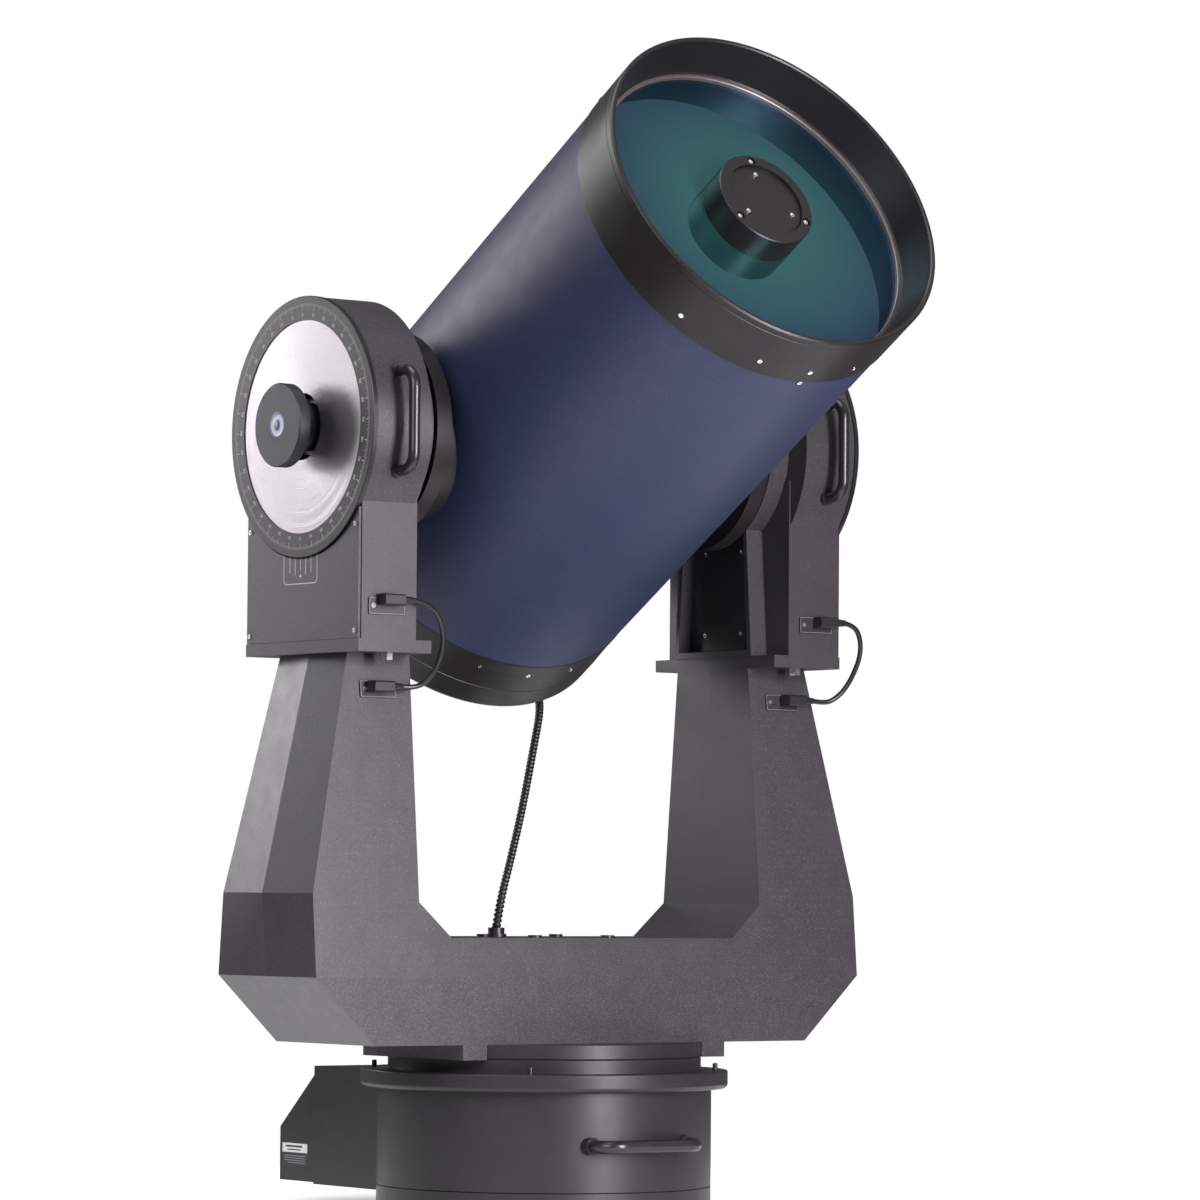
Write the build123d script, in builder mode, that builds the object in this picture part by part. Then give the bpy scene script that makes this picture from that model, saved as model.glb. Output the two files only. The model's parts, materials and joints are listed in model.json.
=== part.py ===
"""Large fork-mounted catadioptric telescope on its drive base.

Frame: +Z up along the polar axis of the base, origin at the centre of the base's
underside, +X to the right and the open end of the tube towards -Y.  Millimetres.
"""
from build123d import *
import math
import os

os.makedirs("parts", exist_ok=True)

# ---------------------------------------------------------------- driving dimensions
FORK_Z = 218.0  # underside of the fork above the ground
DEC_Z = FORK_Z + 767.8  # declination axis
TILT = 31.0  # elevation of the tube at rest, degrees

BASE_R = 214.0  # drum of the drive base
BASE_WALL = 10.0
PLATE_TOP = 34.6
DRUM_TOP = 160.0
FLANGE_TOP = 183.0
FLANGE_R = 235.0
NECK_R = 200.5
NECK_TOP = 200.0
RUNNING_GAP = 0.3
PIER_PCD = 355.6
PIER_HOLE_R = 6.75

SPINDLE_R = 60.0
WORM_WHEEL_R = 140.0
WORM_R = 8.0
WORM_OFFSET = WORM_WHEEL_R + WORM_R + 0.6
RA_WHEEL_Z = 101.0

FORK_HALF_DEPTH = 112.3
FORK_TOP = 484.2  # above the fork's underside
LEAN_START = 84.3
LEAN = 36.0
ARM_IN = 266.3
ARM_OUT = 422.4
ARM_TOP_OUT = 358.9
FORK_WALL = 10.0
FORK_FLOOR_TOP = 132.8

DRUM_HOUSING_R = 162.5
HOUSING_FACE = 373.0
COVER_FACE = 376.8
BLOCK_IN = 292.0
GEARBOX_IN = 266.0
BLOCK_HALF_DEPTH = 129.0
BLOCK_FLOOR = 500.0
BEARING_R = 55.0
SHAFT_R = 35.0

DIAL_R = 163.6
DISC_R = 133.5
DIAL_FACE = 380.3

TUBE_R = 232.5
RIM_R = 233.9
REAR_R = 234.9
FRONT_L = 549.1
FRONT_RING_L = 470.3
REAR_RING_L = -172.3
REAR_L = -266.2
GLASS_L = 489.0

SIDES = {"left": -1, "right": 1}

# ---------------------------------------------------------------- reference frames
lift_sin = math.sin(math.radians(TILT))
lift_cos = math.cos(math.radians(TILT))
forward = Vector(0, -lift_cos, lift_sin)
downward = Vector(0, -lift_sin, -lift_cos)
centre = Vector(0, 0, DEC_Z)

ota_profile = Plane(origin=centre, x_dir=(1, 0, 0), z_dir=downward)
ota_axis = Axis(origin=centre, direction=forward)
ota_plane = Plane(origin=centre, x_dir=(1, 0, 0), z_dir=forward)
dec_profile = Plane(origin=centre, x_dir=(1, 0, 0), z_dir=(0, -1, 0))
dec_axis = Axis(origin=centre, direction=(1, 0, 0))
dec_worm_plane = Plane(origin=(-318, 0, DEC_Z - WORM_OFFSET), x_dir=(0, 1, 0), z_dir=(1, 0, 0))
ra_worm_plane = Plane(origin=(0, WORM_OFFSET, RA_WHEEL_Z), x_dir=(1, 0, 0), z_dir=(0, 0, -1))


def save(piece, label):
    """Label a finished piece and write it as one STEP file."""
    piece.part.label = label
    export_step(piece.part, f"parts/{label}.step")


def turned(profile_plane, axis, points):
    """A body of revolution from an outline of (radius or station) points."""
    with BuildPart() as piece:
        with BuildSketch(profile_plane):
            Polygon(*points, align=None)
        revolve(axis=axis)
    return piece


def about_base(points):
    """Turned about the polar axis; points are (radius, height)."""
    return turned(Plane.XZ, Axis.Z, points)


def about_dec(points, sign=1):
    """Turned about the declination axis; points are (distance out, radius)."""
    return turned(dec_profile, dec_axis, [(sign * out, radius) for out, radius in points])


def about_tube(points):
    """Turned about the optical axis; points are (radius, station along the tube)."""
    return turned(ota_profile, ota_axis, points)


def tube_surface(station, angle, radius):
    """Plane on the tube's outside, its z pointing outwards; angle 0 is the underside."""
    turn = math.radians(angle)
    outward = downward * math.cos(turn) + Vector(1, 0, 0) * math.sin(turn)
    return Plane(origin=centre + forward * station + outward * radius, z_dir=outward)


def tube_face(station, across, down, facing=1):
    """Plane across the tube at a station, offset sideways and towards the underside."""
    spot = centre + forward * station + Vector(across, 0, 0) + downward * down
    return Plane(origin=spot, x_dir=(1, 0, 0), z_dir=forward * facing)


def shifted(plane, x, y, z=0):
    """The same plane moved along its own axes."""
    return Plane(origin=plane.from_local_coords((x, y, z)), x_dir=plane.x_dir, z_dir=plane.z_dir)


def screws(planes, head_r, head_h, shank_r, shank_l):
    """Cap screws whose heads stand on the given planes and whose shanks go in."""
    with BuildPart() as group:
        for plane in planes:
            with BuildSketch(plane):
                Circle(head_r)
            extrude(amount=head_h)
            with BuildSketch(plane):
                Circle(shank_r)
            extrude(amount=-shank_l)
            with BuildSketch(plane.offset(head_h)):
                RegularPolygon(head_r * 0.5, 6)
            extrude(amount=-head_h * 0.6, mode=Mode.SUBTRACT)
    return group


def grab_handle(plane, length, stand_off, bar_r):
    """A bow handle lying along the plane's x, its feet on the plane."""
    half = length / 2
    bend = stand_off * 0.6
    with BuildPart() as handle:
        with BuildLine(Plane(origin=plane.origin, x_dir=plane.x_dir, z_dir=-plane.y_dir)):
            FilletPolyline(
                (-half, 0), (-half, stand_off), (half, stand_off), (half, 0), radius=bend
            )
        with BuildSketch(shifted(plane, -half, 0)):
            Circle(bar_r)
        sweep()
        with Locations(shifted(plane, -half, 0), shifted(plane, half, 0)):
            Cylinder(bar_r * 1.35, 5, align=(Align.CENTER, Align.CENTER, Align.MIN))
    return handle


def cord(points, diameter, name):
    """A round cord on straight runs and arcs as large as the runs allow."""
    route = [Vector(*point) for point in points]
    radii = []
    for before, corner, after in zip(route, route[1:], route[2:]):
        arriving = corner - before
        leaving = after - corner
        turn = math.radians(arriving.get_angle(leaving))
        radii.append(0.45 * min(arriving.length, leaving.length) / math.tan(turn / 2))
    print(name, "radii in diameters", [round(radius / diameter, 1) for radius in radii])
    with BuildPart() as tube:
        with BuildLine() as path:
            FilletPolyline(*route, radius=radii)
        with BuildSketch(Plane(origin=route[0], z_dir=route[1] - route[0])):
            Circle(diameter / 2)
        sweep()
    print(name, "length", round(path.wire().length, 1))
    return tube


def plug(start, end, axis_y, axis_z, back_y):
    """A moulded plug lying along +X with a tapered strain relief at its end."""
    relief = 15.0
    body = end - relief - start
    depth = back_y - axis_y + 6.5
    with BuildPart() as piece:
        with Locations((start + body / 2, back_y - depth / 2, axis_z)):
            Box(body, depth, 14)
        fillet(piece.edges().filter_by(Axis.X), 2.5)
        with BuildSketch(Plane(origin=(end - relief, axis_y, axis_z), z_dir=(1, 0, 0))):
            Circle(5.4)
        with BuildSketch(Plane(origin=(end, axis_y, axis_z), z_dir=(1, 0, 0))):
            Circle(4.0)
        loft()
    return piece


def drive_unit(plane, foot_size, foot_centre):
    """Worm cradle, reduction gear case and motor on one bracket."""
    with BuildPart(plane) as unit:
        with Locations((0, -26, 0)):
            Box(90, 8, 28)
        with Locations((-40, -8, 0), (40, -8, 0)):
            Box(10, 30, 28)
        with Locations((59, -9, 0)):
            Box(26, 30, 30)
        with Locations((72, -9, 0)):
            Cylinder(12, 28, rotation=(0, 90, 0), align=(Align.CENTER, Align.CENTER, Align.MIN))
        with Locations(foot_centre):
            Box(*foot_size)
        with Locations((0, 0, 0)):
            Cylinder(4.05, 106, rotation=(0, 90, 0), mode=Mode.SUBTRACT)
    return unit


def worm(plane):
    """Worm with its own shaft; the thread is drawn as a stack of ridges."""
    ridge = 4.0
    outline = [(-50, 0), (50, 0), (50, 4), (28, 4)]
    for step in range(12):
        x = 24 - step * ridge
        outline += [(x, WORM_R), (x - ridge / 2, WORM_R - 2.0)]
    outline += [(-28, 4), (-50, 4)]
    with BuildPart() as piece:
        with BuildSketch(plane):
            Polygon(*outline, align=None)
        revolve(axis=Axis(origin=plane.origin, direction=plane.x_dir))
    return piece


# ================================================================ drive base (fixed)
with BuildPart() as base_bottom_plate:
    with BuildSketch():
        Circle(BASE_R)
    extrude(amount=PLATE_TOP)
    with BuildSketch(Plane.XY.offset(PLATE_TOP)):
        Circle(BASE_R - 14)
    extrude(amount=10 - PLATE_TOP, mode=Mode.SUBTRACT)
    with PolarLocations(PIER_PCD / 2, 3, start_angle=90):
        Cylinder(PIER_HOLE_R, 60, mode=Mode.SUBTRACT)
    chamfer(base_bottom_plate.edges().sort_by(Axis.Z)[0], 2)
save(base_bottom_plate, "base_bottom_plate")

base_drum = about_base([
    (BASE_R - BASE_WALL, PLATE_TOP), (BASE_R - 1.5, PLATE_TOP), (BASE_R, PLATE_TOP + 1.5),
    (BASE_R, DRUM_TOP), (BASE_R - BASE_WALL, DRUM_TOP),
])
save(base_drum, "base_drum")

pin_angles = (50, 140, 230, 320)
with BuildPart() as flange_pins:
    with Locations(Plane.XY.offset(FLANGE_TOP - 6)):
        with PolarLocations(219, 4, start_angle=pin_angles[0]):
            Cylinder(3.2, 15, align=(Align.CENTER, Align.CENTER, Align.MIN))
    fillet(flange_pins.edges().group_by(Axis.Z)[-1], 1.5)
save(flange_pins, "flange_pins")

with BuildPart() as base_top_flange:
    with BuildSketch(Plane.XZ):
        Polygon(
            (90, 120), (100, 120), (100, DRUM_TOP), (FLANGE_R, DRUM_TOP), (FLANGE_R, FLANGE_TOP),
            (90, FLANGE_TOP), align=None,
        )
    revolve(axis=Axis.Z)
    rim_edges = base_top_flange.edges().filter_by(GeomType.CIRCLE).filter_by(
        lambda edge: edge.radius > FLANGE_R - 1
    )
    fillet(rim_edges.sort_by(Axis.Z)[0], 6)
    fillet(base_top_flange.edges().filter_by(GeomType.CIRCLE).filter_by(
        lambda edge: edge.radius > FLANGE_R - 1
    ).sort_by(Axis.Z)[-1], 2.5)
    add(flange_pins.part, mode=Mode.SUBTRACT)
save(base_top_flange, "base_top_flange")

base_neck_ring = about_base([
    (120, FLANGE_TOP), (NECK_R, FLANGE_TOP), (NECK_R, NECK_TOP - 1), (NECK_R - 1, NECK_TOP),
    (120, NECK_TOP),
])
save(base_neck_ring, "base_neck_ring")

with BuildPart() as ra_bearings:
    for floor in (124, 160):
        with BuildSketch(Plane.XY.offset(floor)):
            Circle(90)
            Circle(SPINDLE_R + 0.05, mode=Mode.SUBTRACT)
        extrude(amount=18)
save(ra_bearings, "ra_bearings")

HANDLE_Z = FORK_Z - 124
HANDLE_HALF = 73.0
handle_foot_y = -math.sqrt(BASE_R**2 - HANDLE_HALF**2)
handle_plane = Plane(origin=(0, handle_foot_y, HANDLE_Z), x_dir=(1, 0, 0), z_dir=(0, -1, 0))
with BuildPart() as base_handle:
    add(grab_handle(handle_plane, 2 * HANDLE_HALF, 40, 8.2).part)
    for across in (-HANDLE_HALF, HANDLE_HALF):
        with Locations((across, handle_foot_y + 4, HANDLE_Z)):
            Cylinder(11, 24, rotation=(90, 0, 0))
    with BuildSketch(Plane.XY.offset(HANDLE_Z - 40)):
        Circle(BASE_R)
    extrude(amount=80, mode=Mode.SUBTRACT)
save(base_handle, "base_handle")

# control box behind the drum: a riveted sheet-metal shell with a sloped console
BOX_HALF = 150.0
BOX_FRONT = 140.0
BOX_BACK = 309.0
BOX_FLOOR = 24.0
BOX_TOP = 178.5
CONSOLE_HALF = 147.5
CONSOLE_FLOOR = 26.0
CONSOLE_TOP = 166.0
CONSOLE_BACK = 394.0
SLOPE_TOP_Y = 313.0
SLOPE_FOOT_Z = 96.0
SHEET = 2.5
box_middle = (BOX_FLOOR + BOX_TOP) / 2
with BuildPart() as control_box:
    with Locations((0, (BOX_FRONT + BOX_BACK) / 2, box_middle)):
        Box(2 * BOX_HALF, BOX_BACK - BOX_FRONT, BOX_TOP - BOX_FLOOR)
    with Locations((0, BOX_BACK / 2, box_middle)):
        Box(
            2 * (BOX_HALF - SHEET), BOX_BACK - 2 * SHEET, BOX_TOP - BOX_FLOOR - 2 * SHEET,
            mode=Mode.SUBTRACT,
        )
    with BuildSketch():
        Circle(BASE_R)
    extrude(amount=DRUM_TOP, mode=Mode.SUBTRACT)
    with BuildSketch(Plane.XY.offset(DRUM_TOP - 1)):
        Circle(FLANGE_R + 1.5)
    extrude(amount=40, mode=Mode.SUBTRACT)
save(control_box, "control_box")

console_outline = [
    (BOX_BACK, CONSOLE_FLOOR), (CONSOLE_BACK, CONSOLE_FLOOR), (CONSOLE_BACK, SLOPE_FOOT_Z),
    (SLOPE_TOP_Y, CONSOLE_TOP), (BOX_BACK, CONSOLE_TOP),
]
console_inside = [
    (BOX_BACK, CONSOLE_FLOOR + SHEET), (CONSOLE_BACK - SHEET, CONSOLE_FLOOR + SHEET),
    (CONSOLE_BACK - SHEET, SLOPE_FOOT_Z - 1), (SLOPE_TOP_Y - 1, CONSOLE_TOP - SHEET),
    (BOX_BACK, CONSOLE_TOP - SHEET),
]
console_slope = Plane(
    origin=(0, (SLOPE_TOP_Y + CONSOLE_BACK) / 2, (CONSOLE_TOP + SLOPE_FOOT_Z) / 2), x_dir=(-1, 0, 0),
    z_dir=(0, CONSOLE_TOP - SLOPE_FOOT_Z, CONSOLE_BACK - SLOPE_TOP_Y),
)
socket_spots = [(-105, 60), (-35, 60), (35, 60), (105, 60)]
SOCKET_W = 22.0
SOCKET_H = 18.0
with BuildPart() as control_console:
    with BuildSketch(Plane.YZ):
        Polygon(*console_outline, align=None)
    extrude(amount=CONSOLE_HALF, both=True)
    with BuildSketch(Plane.YZ):
        Polygon(*console_inside, align=None)
    extrude(amount=CONSOLE_HALF - SHEET, both=True, mode=Mode.SUBTRACT)
    with BuildSketch(console_slope):
        Rectangle(240, 70)
    extrude(amount=-8, both=True, mode=Mode.SUBTRACT)
    for across, height in socket_spots:
        with Locations((across, CONSOLE_BACK, height)):
            Box(SOCKET_W, 12, SOCKET_H, mode=Mode.SUBTRACT)
save(control_console, "control_console")

SWITCH_SPOT = -85.0
with BuildPart() as control_panel:
    with BuildSketch(console_slope):
        Rectangle(239.4, 69.4)
        with Locations((SWITCH_SPOT, 0)):
            Rectangle(15, 22, mode=Mode.SUBTRACT)
    extrude(amount=-SHEET)
    with BuildSketch(console_slope.offset(-SHEET)):
        Rectangle(200, 40)
        with Locations((SWITCH_SPOT, 0)):
            Rectangle(30, 30, mode=Mode.SUBTRACT)
    extrude(amount=-10)
save(control_panel, "control_panel")

with BuildPart() as panel_sockets:
    for across, height in socket_spots:
        with Locations((across, CONSOLE_BACK - 6.4, height)):
            Box(SOCKET_W, 16, SOCKET_H)
        with Locations((across, CONSOLE_BACK - 3, height)):
            Box(SOCKET_W - 6, 12, SOCKET_H - 6, mode=Mode.SUBTRACT)
save(panel_sockets, "panel_sockets")

with BuildPart(console_slope) as power_switch:
    with Locations((SWITCH_SPOT, 0, -1)):
        Box(13, 18, 8)
    fillet(power_switch.edges().filter_by(Axis.X), 2)
save(power_switch, "power_switch")

LEVER_ANGLE = 20.0
lever_out = Vector(math.cos(math.radians(LEVER_ANGLE)), math.sin(math.radians(LEVER_ANGLE)), 0)
lever_plane = Plane(
    origin=Vector(0, 0, 100) + lever_out * (BASE_R + 0.5), x_dir=(0, 0, 1), z_dir=lever_out
)
with BuildPart() as ra_clamp_lever:
    with BuildSketch(lever_plane):
        Circle(13)
    extrude(amount=12)
    with BuildSketch(lever_plane.offset(4)):
        with Locations((-36, 0)):
            SlotOverall(84, 13)
    extrude(amount=7)
save(ra_clamp_lever, "ra_clamp_lever")

ra_worm_drive = drive_unit(ra_worm_plane, (40, 20, 77), (0, -20, 52.5))
save(ra_worm_drive, "ra_motor_gearbox")
ra_worm = worm(ra_worm_plane)
save(ra_worm, "ra_worm")

# ================================================================ fork (turns in right ascension)
def both_sides(points):
    """Close an outline symmetric about the middle from its right-hand points."""
    mirrored = [(-x, z) for x, z in reversed(points)]
    return [(x, z + FORK_Z) for x, z in points + mirrored]


fork_front = both_sides([
    (335.2, 0), (ARM_OUT, LEAN_START), (ARM_OUT, 187.3), (ARM_TOP_OUT, FORK_TOP),
    (ARM_IN, FORK_TOP), (ARM_IN, 176.9), (219.6, FORK_FLOOR_TOP),
])
top_depth = FORK_HALF_DEPTH - LEAN
fork_side = [
    (-FORK_HALF_DEPTH, FORK_Z), (FORK_HALF_DEPTH, FORK_Z),
    (FORK_HALF_DEPTH, FORK_Z + LEAN_START), (top_depth, FORK_Z + FORK_TOP),
    (-top_depth, FORK_Z + FORK_TOP), (-FORK_HALF_DEPTH, FORK_Z + LEAN_START),
]
cavity_front = both_sides([
    (330, FORK_WALL), (ARM_OUT - FORK_WALL, LEAN_START + 4), (ARM_OUT - FORK_WALL, 186),
    (ARM_TOP_OUT - FORK_WALL, FORK_TOP + 1), (ARM_IN + FORK_WALL, FORK_TOP + 1),
    (ARM_IN + FORK_WALL, 172), (223, FORK_FLOOR_TOP - FORK_WALL),
])
cavity_side = [(y * 0.91, z + (1 if z > 600 else 0)) for y, z in fork_side]

with BuildPart() as fork_cavity:
    with BuildSketch(Plane.XZ):
        Polygon(*cavity_front, align=None)
    extrude(amount=FORK_HALF_DEPTH, both=True)
    with BuildSketch(Plane.YZ):
        Polygon(*cavity_side, align=None)
    extrude(amount=ARM_OUT, both=True, mode=Mode.INTERSECT)
    with BuildSketch(Plane.XY.offset(FORK_Z)):
        Circle(95)
    extrude(amount=FORK_FLOOR_TOP, mode=Mode.SUBTRACT)

bolt_square = 114.0
with BuildPart() as fork_base_bolts:
    with Locations(Plane.XY.offset(FORK_Z + FORK_FLOOR_TOP)):
        with GridLocations(bolt_square, bolt_square, 2, 2):
            Cylinder(9, 3.2, align=(Align.CENTER, Align.CENTER, Align.MIN))
            Cylinder(5, 40, align=(Align.CENTER, Align.CENTER, Align.MAX))
    with Locations(Plane.XY.offset(FORK_Z + FORK_FLOOR_TOP + 3.2)):
        with GridLocations(bolt_square, bolt_square, 2, 2):
            Cylinder(4, 4, mode=Mode.SUBTRACT)
save(fork_base_bolts, "fork_base_bolts")

ra_turntable = about_base([
    (40, NECK_TOP + RUNNING_GAP), (NECK_R - 1, NECK_TOP + RUNNING_GAP),
    (NECK_R, NECK_TOP + RUNNING_GAP + 1), (NECK_R, FORK_Z), (40, FORK_Z),
])
save(ra_turntable, "ra_turntable")

ra_spindle = about_base([
    (40, 90), (SPINDLE_R, 90), (SPINDLE_R, 190), (80, 190), (80, NECK_TOP + RUNNING_GAP),
    (40, NECK_TOP + RUNNING_GAP),
])
save(ra_spindle, "ra_spindle")

ra_worm_wheel = about_base([
    (SPINDLE_R, RA_WHEEL_Z - 7), (90, RA_WHEEL_Z - 7), (90, RA_WHEEL_Z - 4),
    (WORM_WHEEL_R - 12, RA_WHEEL_Z - 4), (WORM_WHEEL_R - 12, RA_WHEEL_Z - 6),
    (WORM_WHEEL_R, RA_WHEEL_Z - 6), (WORM_WHEEL_R - 1.5, RA_WHEEL_Z),
    (WORM_WHEEL_R, RA_WHEEL_Z + 6), (SPINDLE_R, RA_WHEEL_Z + 6),
])
save(ra_worm_wheel, "ra_worm_wheel")

# declination housings on top of the arms
cover_corners = [(-120, 509.5), (120, 509.5), (-120, 641), (120, 641)]
panel_corners = [(-38.5, 531), (38.5, 531), (-38.5, 638.5), (38.5, 638.5)]
housing_planes = []
PANEL_FACE = 284.0
for sign in SIDES.values():
    for y, z in cover_corners:
        spot = (sign * COVER_FACE, y, FORK_Z + z)
        housing_planes.append(Plane(origin=spot, z_dir=(sign, 0, 0)))
    for y, z in panel_corners:
        spot = (sign * PANEL_FACE, y, FORK_Z + z)
        housing_planes.append(Plane(origin=spot, z_dir=(-sign, 0, 0)))
with BuildPart() as housing_bolts:
    for sign in SIDES.values():
        for y in (-106, 106):
            with Locations((sign * 320, y, FORK_Z + FORK_TOP)):
                Cylinder(5, 12, align=(Align.CENTER, Align.CENTER, Align.MIN))
            with BuildSketch(Plane.XY.offset(FORK_Z + FORK_TOP)):
                with Locations((sign * 320, y)):
                    RegularPolygon(8.2, 6)
            extrude(amount=-9)
save(housing_bolts, "housing_bolts")

plate_size = (54, 22)
LOWER_PLATE = 440.0
upper_plates = {"left": -336.5, "right": 336.0}
lower_plates = {"left": -316.0, "right": 319.0}
lean_angle = math.degrees(math.atan2(LEAN, FORK_TOP - LEAN_START))
lower_front = FORK_HALF_DEPTH - LEAN * (LOWER_PLATE - LEAN_START) / (FORK_TOP - LEAN_START)
plate_planes = []
for side in SIDES:
    spot = (upper_plates[side], -BLOCK_HALF_DEPTH, FORK_Z + 540.5)
    plate_planes.append(Plane(origin=spot, x_dir=(1, 0, 0), z_dir=(0, -1, 0)))
    spot = (lower_plates[side], -lower_front, FORK_Z + LOWER_PLATE)
    upright = Plane(origin=spot, x_dir=(1, 0, 0), z_dir=(0, -1, 0))
    plate_planes.append(upright.rotated((-lean_angle, 0, 0)))
housing_planes += [shifted(plane, -21, 0, 2) for plane in plate_planes]
housing_screws = screws(housing_planes, 3.2, 1.5, 1.8, 5)
save(housing_screws, "housing_screws")

with BuildPart() as connector_plates:
    for plane in plate_planes:
        with BuildSketch(plane):
            RectangleRounded(*plate_size, 3)
        extrude(amount=2)
    add(housing_screws.part, mode=Mode.SUBTRACT)
save(connector_plates, "connector_plates")


GLAND_FORK = (-70, 10)
with BuildPart() as fork_casting:
    with BuildSketch(Plane.XZ):
        Polygon(*fork_front, align=None)
    extrude(amount=FORK_HALF_DEPTH, both=True)
    with BuildSketch(Plane.YZ):
        Polygon(*fork_side, align=None)
    extrude(amount=ARM_OUT + 1, both=True, mode=Mode.INTERSECT)
    # shallow ridge down the middle of each arm's outside
    for sign in SIDES.values():
        for height, depth, face, rise in (
            (LEAN_START, FORK_HALF_DEPTH, ARM_OUT, 1.0),
            (187.3, FORK_HALF_DEPTH - 9.3, ARM_OUT, 8.0),
            (FORK_TOP, top_depth, ARM_TOP_OUT, 6.0),
        ):
            with BuildSketch(Plane.XY.offset(FORK_Z + height)):
                Polygon(
                    (sign * (face - 6), -depth), (sign * face, -depth), (sign * (face + rise), 0),
                    (sign * face, depth), (sign * (face - 6), depth), align=None,
                )
        loft(ruled=True)
    # skirt under the base, cut round the turntable
    with BuildSketch(Plane.XY.offset(FORK_Z - 19)):
        Rectangle(408, 2 * FORK_HALF_DEPTH)
        Circle(NECK_R + 1.2, mode=Mode.SUBTRACT)
    extrude(amount=19)
    add(fork_cavity.part, mode=Mode.SUBTRACT)
    with BuildSketch(Plane.XY.offset(FORK_Z - 1)):
        Circle(40)
    extrude(amount=100, mode=Mode.SUBTRACT)
    with Locations((GLAND_FORK[0], GLAND_FORK[1], FORK_Z + FORK_FLOOR_TOP)):
        Cylinder(9, 60, mode=Mode.SUBTRACT)
    add(fork_base_bolts.part, mode=Mode.SUBTRACT)
    add(housing_screws.part, mode=Mode.SUBTRACT)
save(fork_casting, "fork_casting")

def dec_housing(sign):
    """One declination housing: round drum, square block, inner gear cover and flange."""
    drum_in = 294.0
    block_top = DEC_Z - 40
    floor = FORK_Z + BLOCK_FLOOR
    with BuildPart() as housing:
        with BuildSketch(dec_profile):
            Polygon(
                (sign * drum_in, 0), (sign * HOUSING_FACE, 0), (sign * HOUSING_FACE, DRUM_HOUSING_R),
                (sign * drum_in, DRUM_HOUSING_R), align=None,
            )
        revolve(axis=dec_axis)
        with Locations((sign * (BLOCK_IN + HOUSING_FACE) / 2, 0, (floor + block_top) / 2)):
            Box(HOUSING_FACE - BLOCK_IN, 2 * BLOCK_HALF_DEPTH, block_top - floor)
        with Locations((sign * (269 + COVER_FACE) / 2, 0, FORK_Z + (FORK_TOP + BLOCK_FLOOR) / 2)):
            Box(COVER_FACE - 269, 2 * BLOCK_HALF_DEPTH, BLOCK_FLOOR - FORK_TOP)
        with BuildSketch(dec_profile):
            Polygon(
                (sign * GEARBOX_IN, 0), (sign * (drum_in + 2), 0), (sign * (drum_in + 2), 125),
                (sign * GEARBOX_IN, 125), align=None,
            )
        revolve(axis=dec_axis)
        with BuildSketch(Plane.YZ.offset(sign * GEARBOX_IN)):
            Polygon(
                (-83, floor), (83, floor), (71, FORK_Z + 665), (71, DEC_Z), (-71, DEC_Z),
                (-71, FORK_Z + 665), align=None,
            )
        extrude(amount=sign * (drum_in + 2 - GEARBOX_IN))
        # recess of the inner gear cover
        with BuildSketch(Plane.YZ.offset(sign * GEARBOX_IN)):
            Polygon(
                (-74, floor + 8), (74, floor + 8), (63, FORK_Z + 669), (-63, FORK_Z + 669), align=None,
            )
        extrude(amount=sign * 22, mode=Mode.SUBTRACT)
        # hollow, open on the outside
        with BuildSketch(dec_profile):
            Polygon(
                (sign * 302, 0), (sign * (HOUSING_FACE + 1), 0), (sign * (HOUSING_FACE + 1), 152),
                (sign * 302, 152), align=None,
            )
        revolve(axis=dec_axis, mode=Mode.SUBTRACT)
        with Locations((sign * (302 + HOUSING_FACE + 1) / 2, 0, (floor + 10 + block_top) / 2)):
            Box(
                HOUSING_FACE + 1 - 302, 2 * (BLOCK_HALF_DEPTH - 10), block_top - floor - 10,
                mode=Mode.SUBTRACT,
            )
        # bearing seat and shaft bore
        with BuildSketch(dec_profile):
            Polygon(
                (sign * 260, 0), (sign * 310, 0), (sign * 310, BEARING_R), (sign * 260, BEARING_R),
                align=None,
            )
        revolve(axis=dec_axis, mode=Mode.SUBTRACT)
        add(housing_screws.part, mode=Mode.SUBTRACT)
        add(housing_bolts.part, mode=Mode.SUBTRACT)
    return housing


for side, sign in SIDES.items():
    housing = dec_housing(sign)
    save(housing, f"dec_housing_{side}")

with BuildPart() as side_covers:
    for sign in SIDES.values():
        with BuildSketch(Plane.YZ.offset(sign * HOUSING_FACE)):
            with Locations((0, FORK_Z + BLOCK_FLOOR + 0.4)):
                Rectangle(254, 170, align=(Align.CENTER, Align.MIN))
            with Locations((0, DEC_Z)):
                Circle(DIAL_R + 2, mode=Mode.SUBTRACT)
        extrude(amount=sign * (COVER_FACE - HOUSING_FACE))
    add(housing_screws.part, mode=Mode.SUBTRACT)
save(side_covers, "side_covers")

with BuildPart() as inner_panels:
    for sign in SIDES.values():
        with BuildSketch(Plane.YZ.offset(sign * PANEL_FACE)):
            with Locations((0, FORK_Z + 587.5)):
                Rectangle(95, 155)
        extrude(amount=sign * 4)
    add(housing_screws.part, mode=Mode.SUBTRACT)
save(inner_panels, "inner_panels")

with BuildPart() as dec_bearings:
    for sign in SIDES.values():
        with BuildSketch(Plane.YZ.offset(sign * 268)):
            with Locations((0, DEC_Z)):
                Circle(BEARING_R)
                Circle(SHAFT_R + 0.05, mode=Mode.SUBTRACT)
        extrude(amount=sign * 30)
save(dec_bearings, "dec_bearings")

dec_worm_drive = drive_unit(dec_worm_plane, (40, 79.2, 26), (0, -69.6, 0))
save(dec_worm_drive, "dec_motor_gearbox")
dec_worm = worm(dec_worm_plane)
save(dec_worm, "dec_worm")

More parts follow.
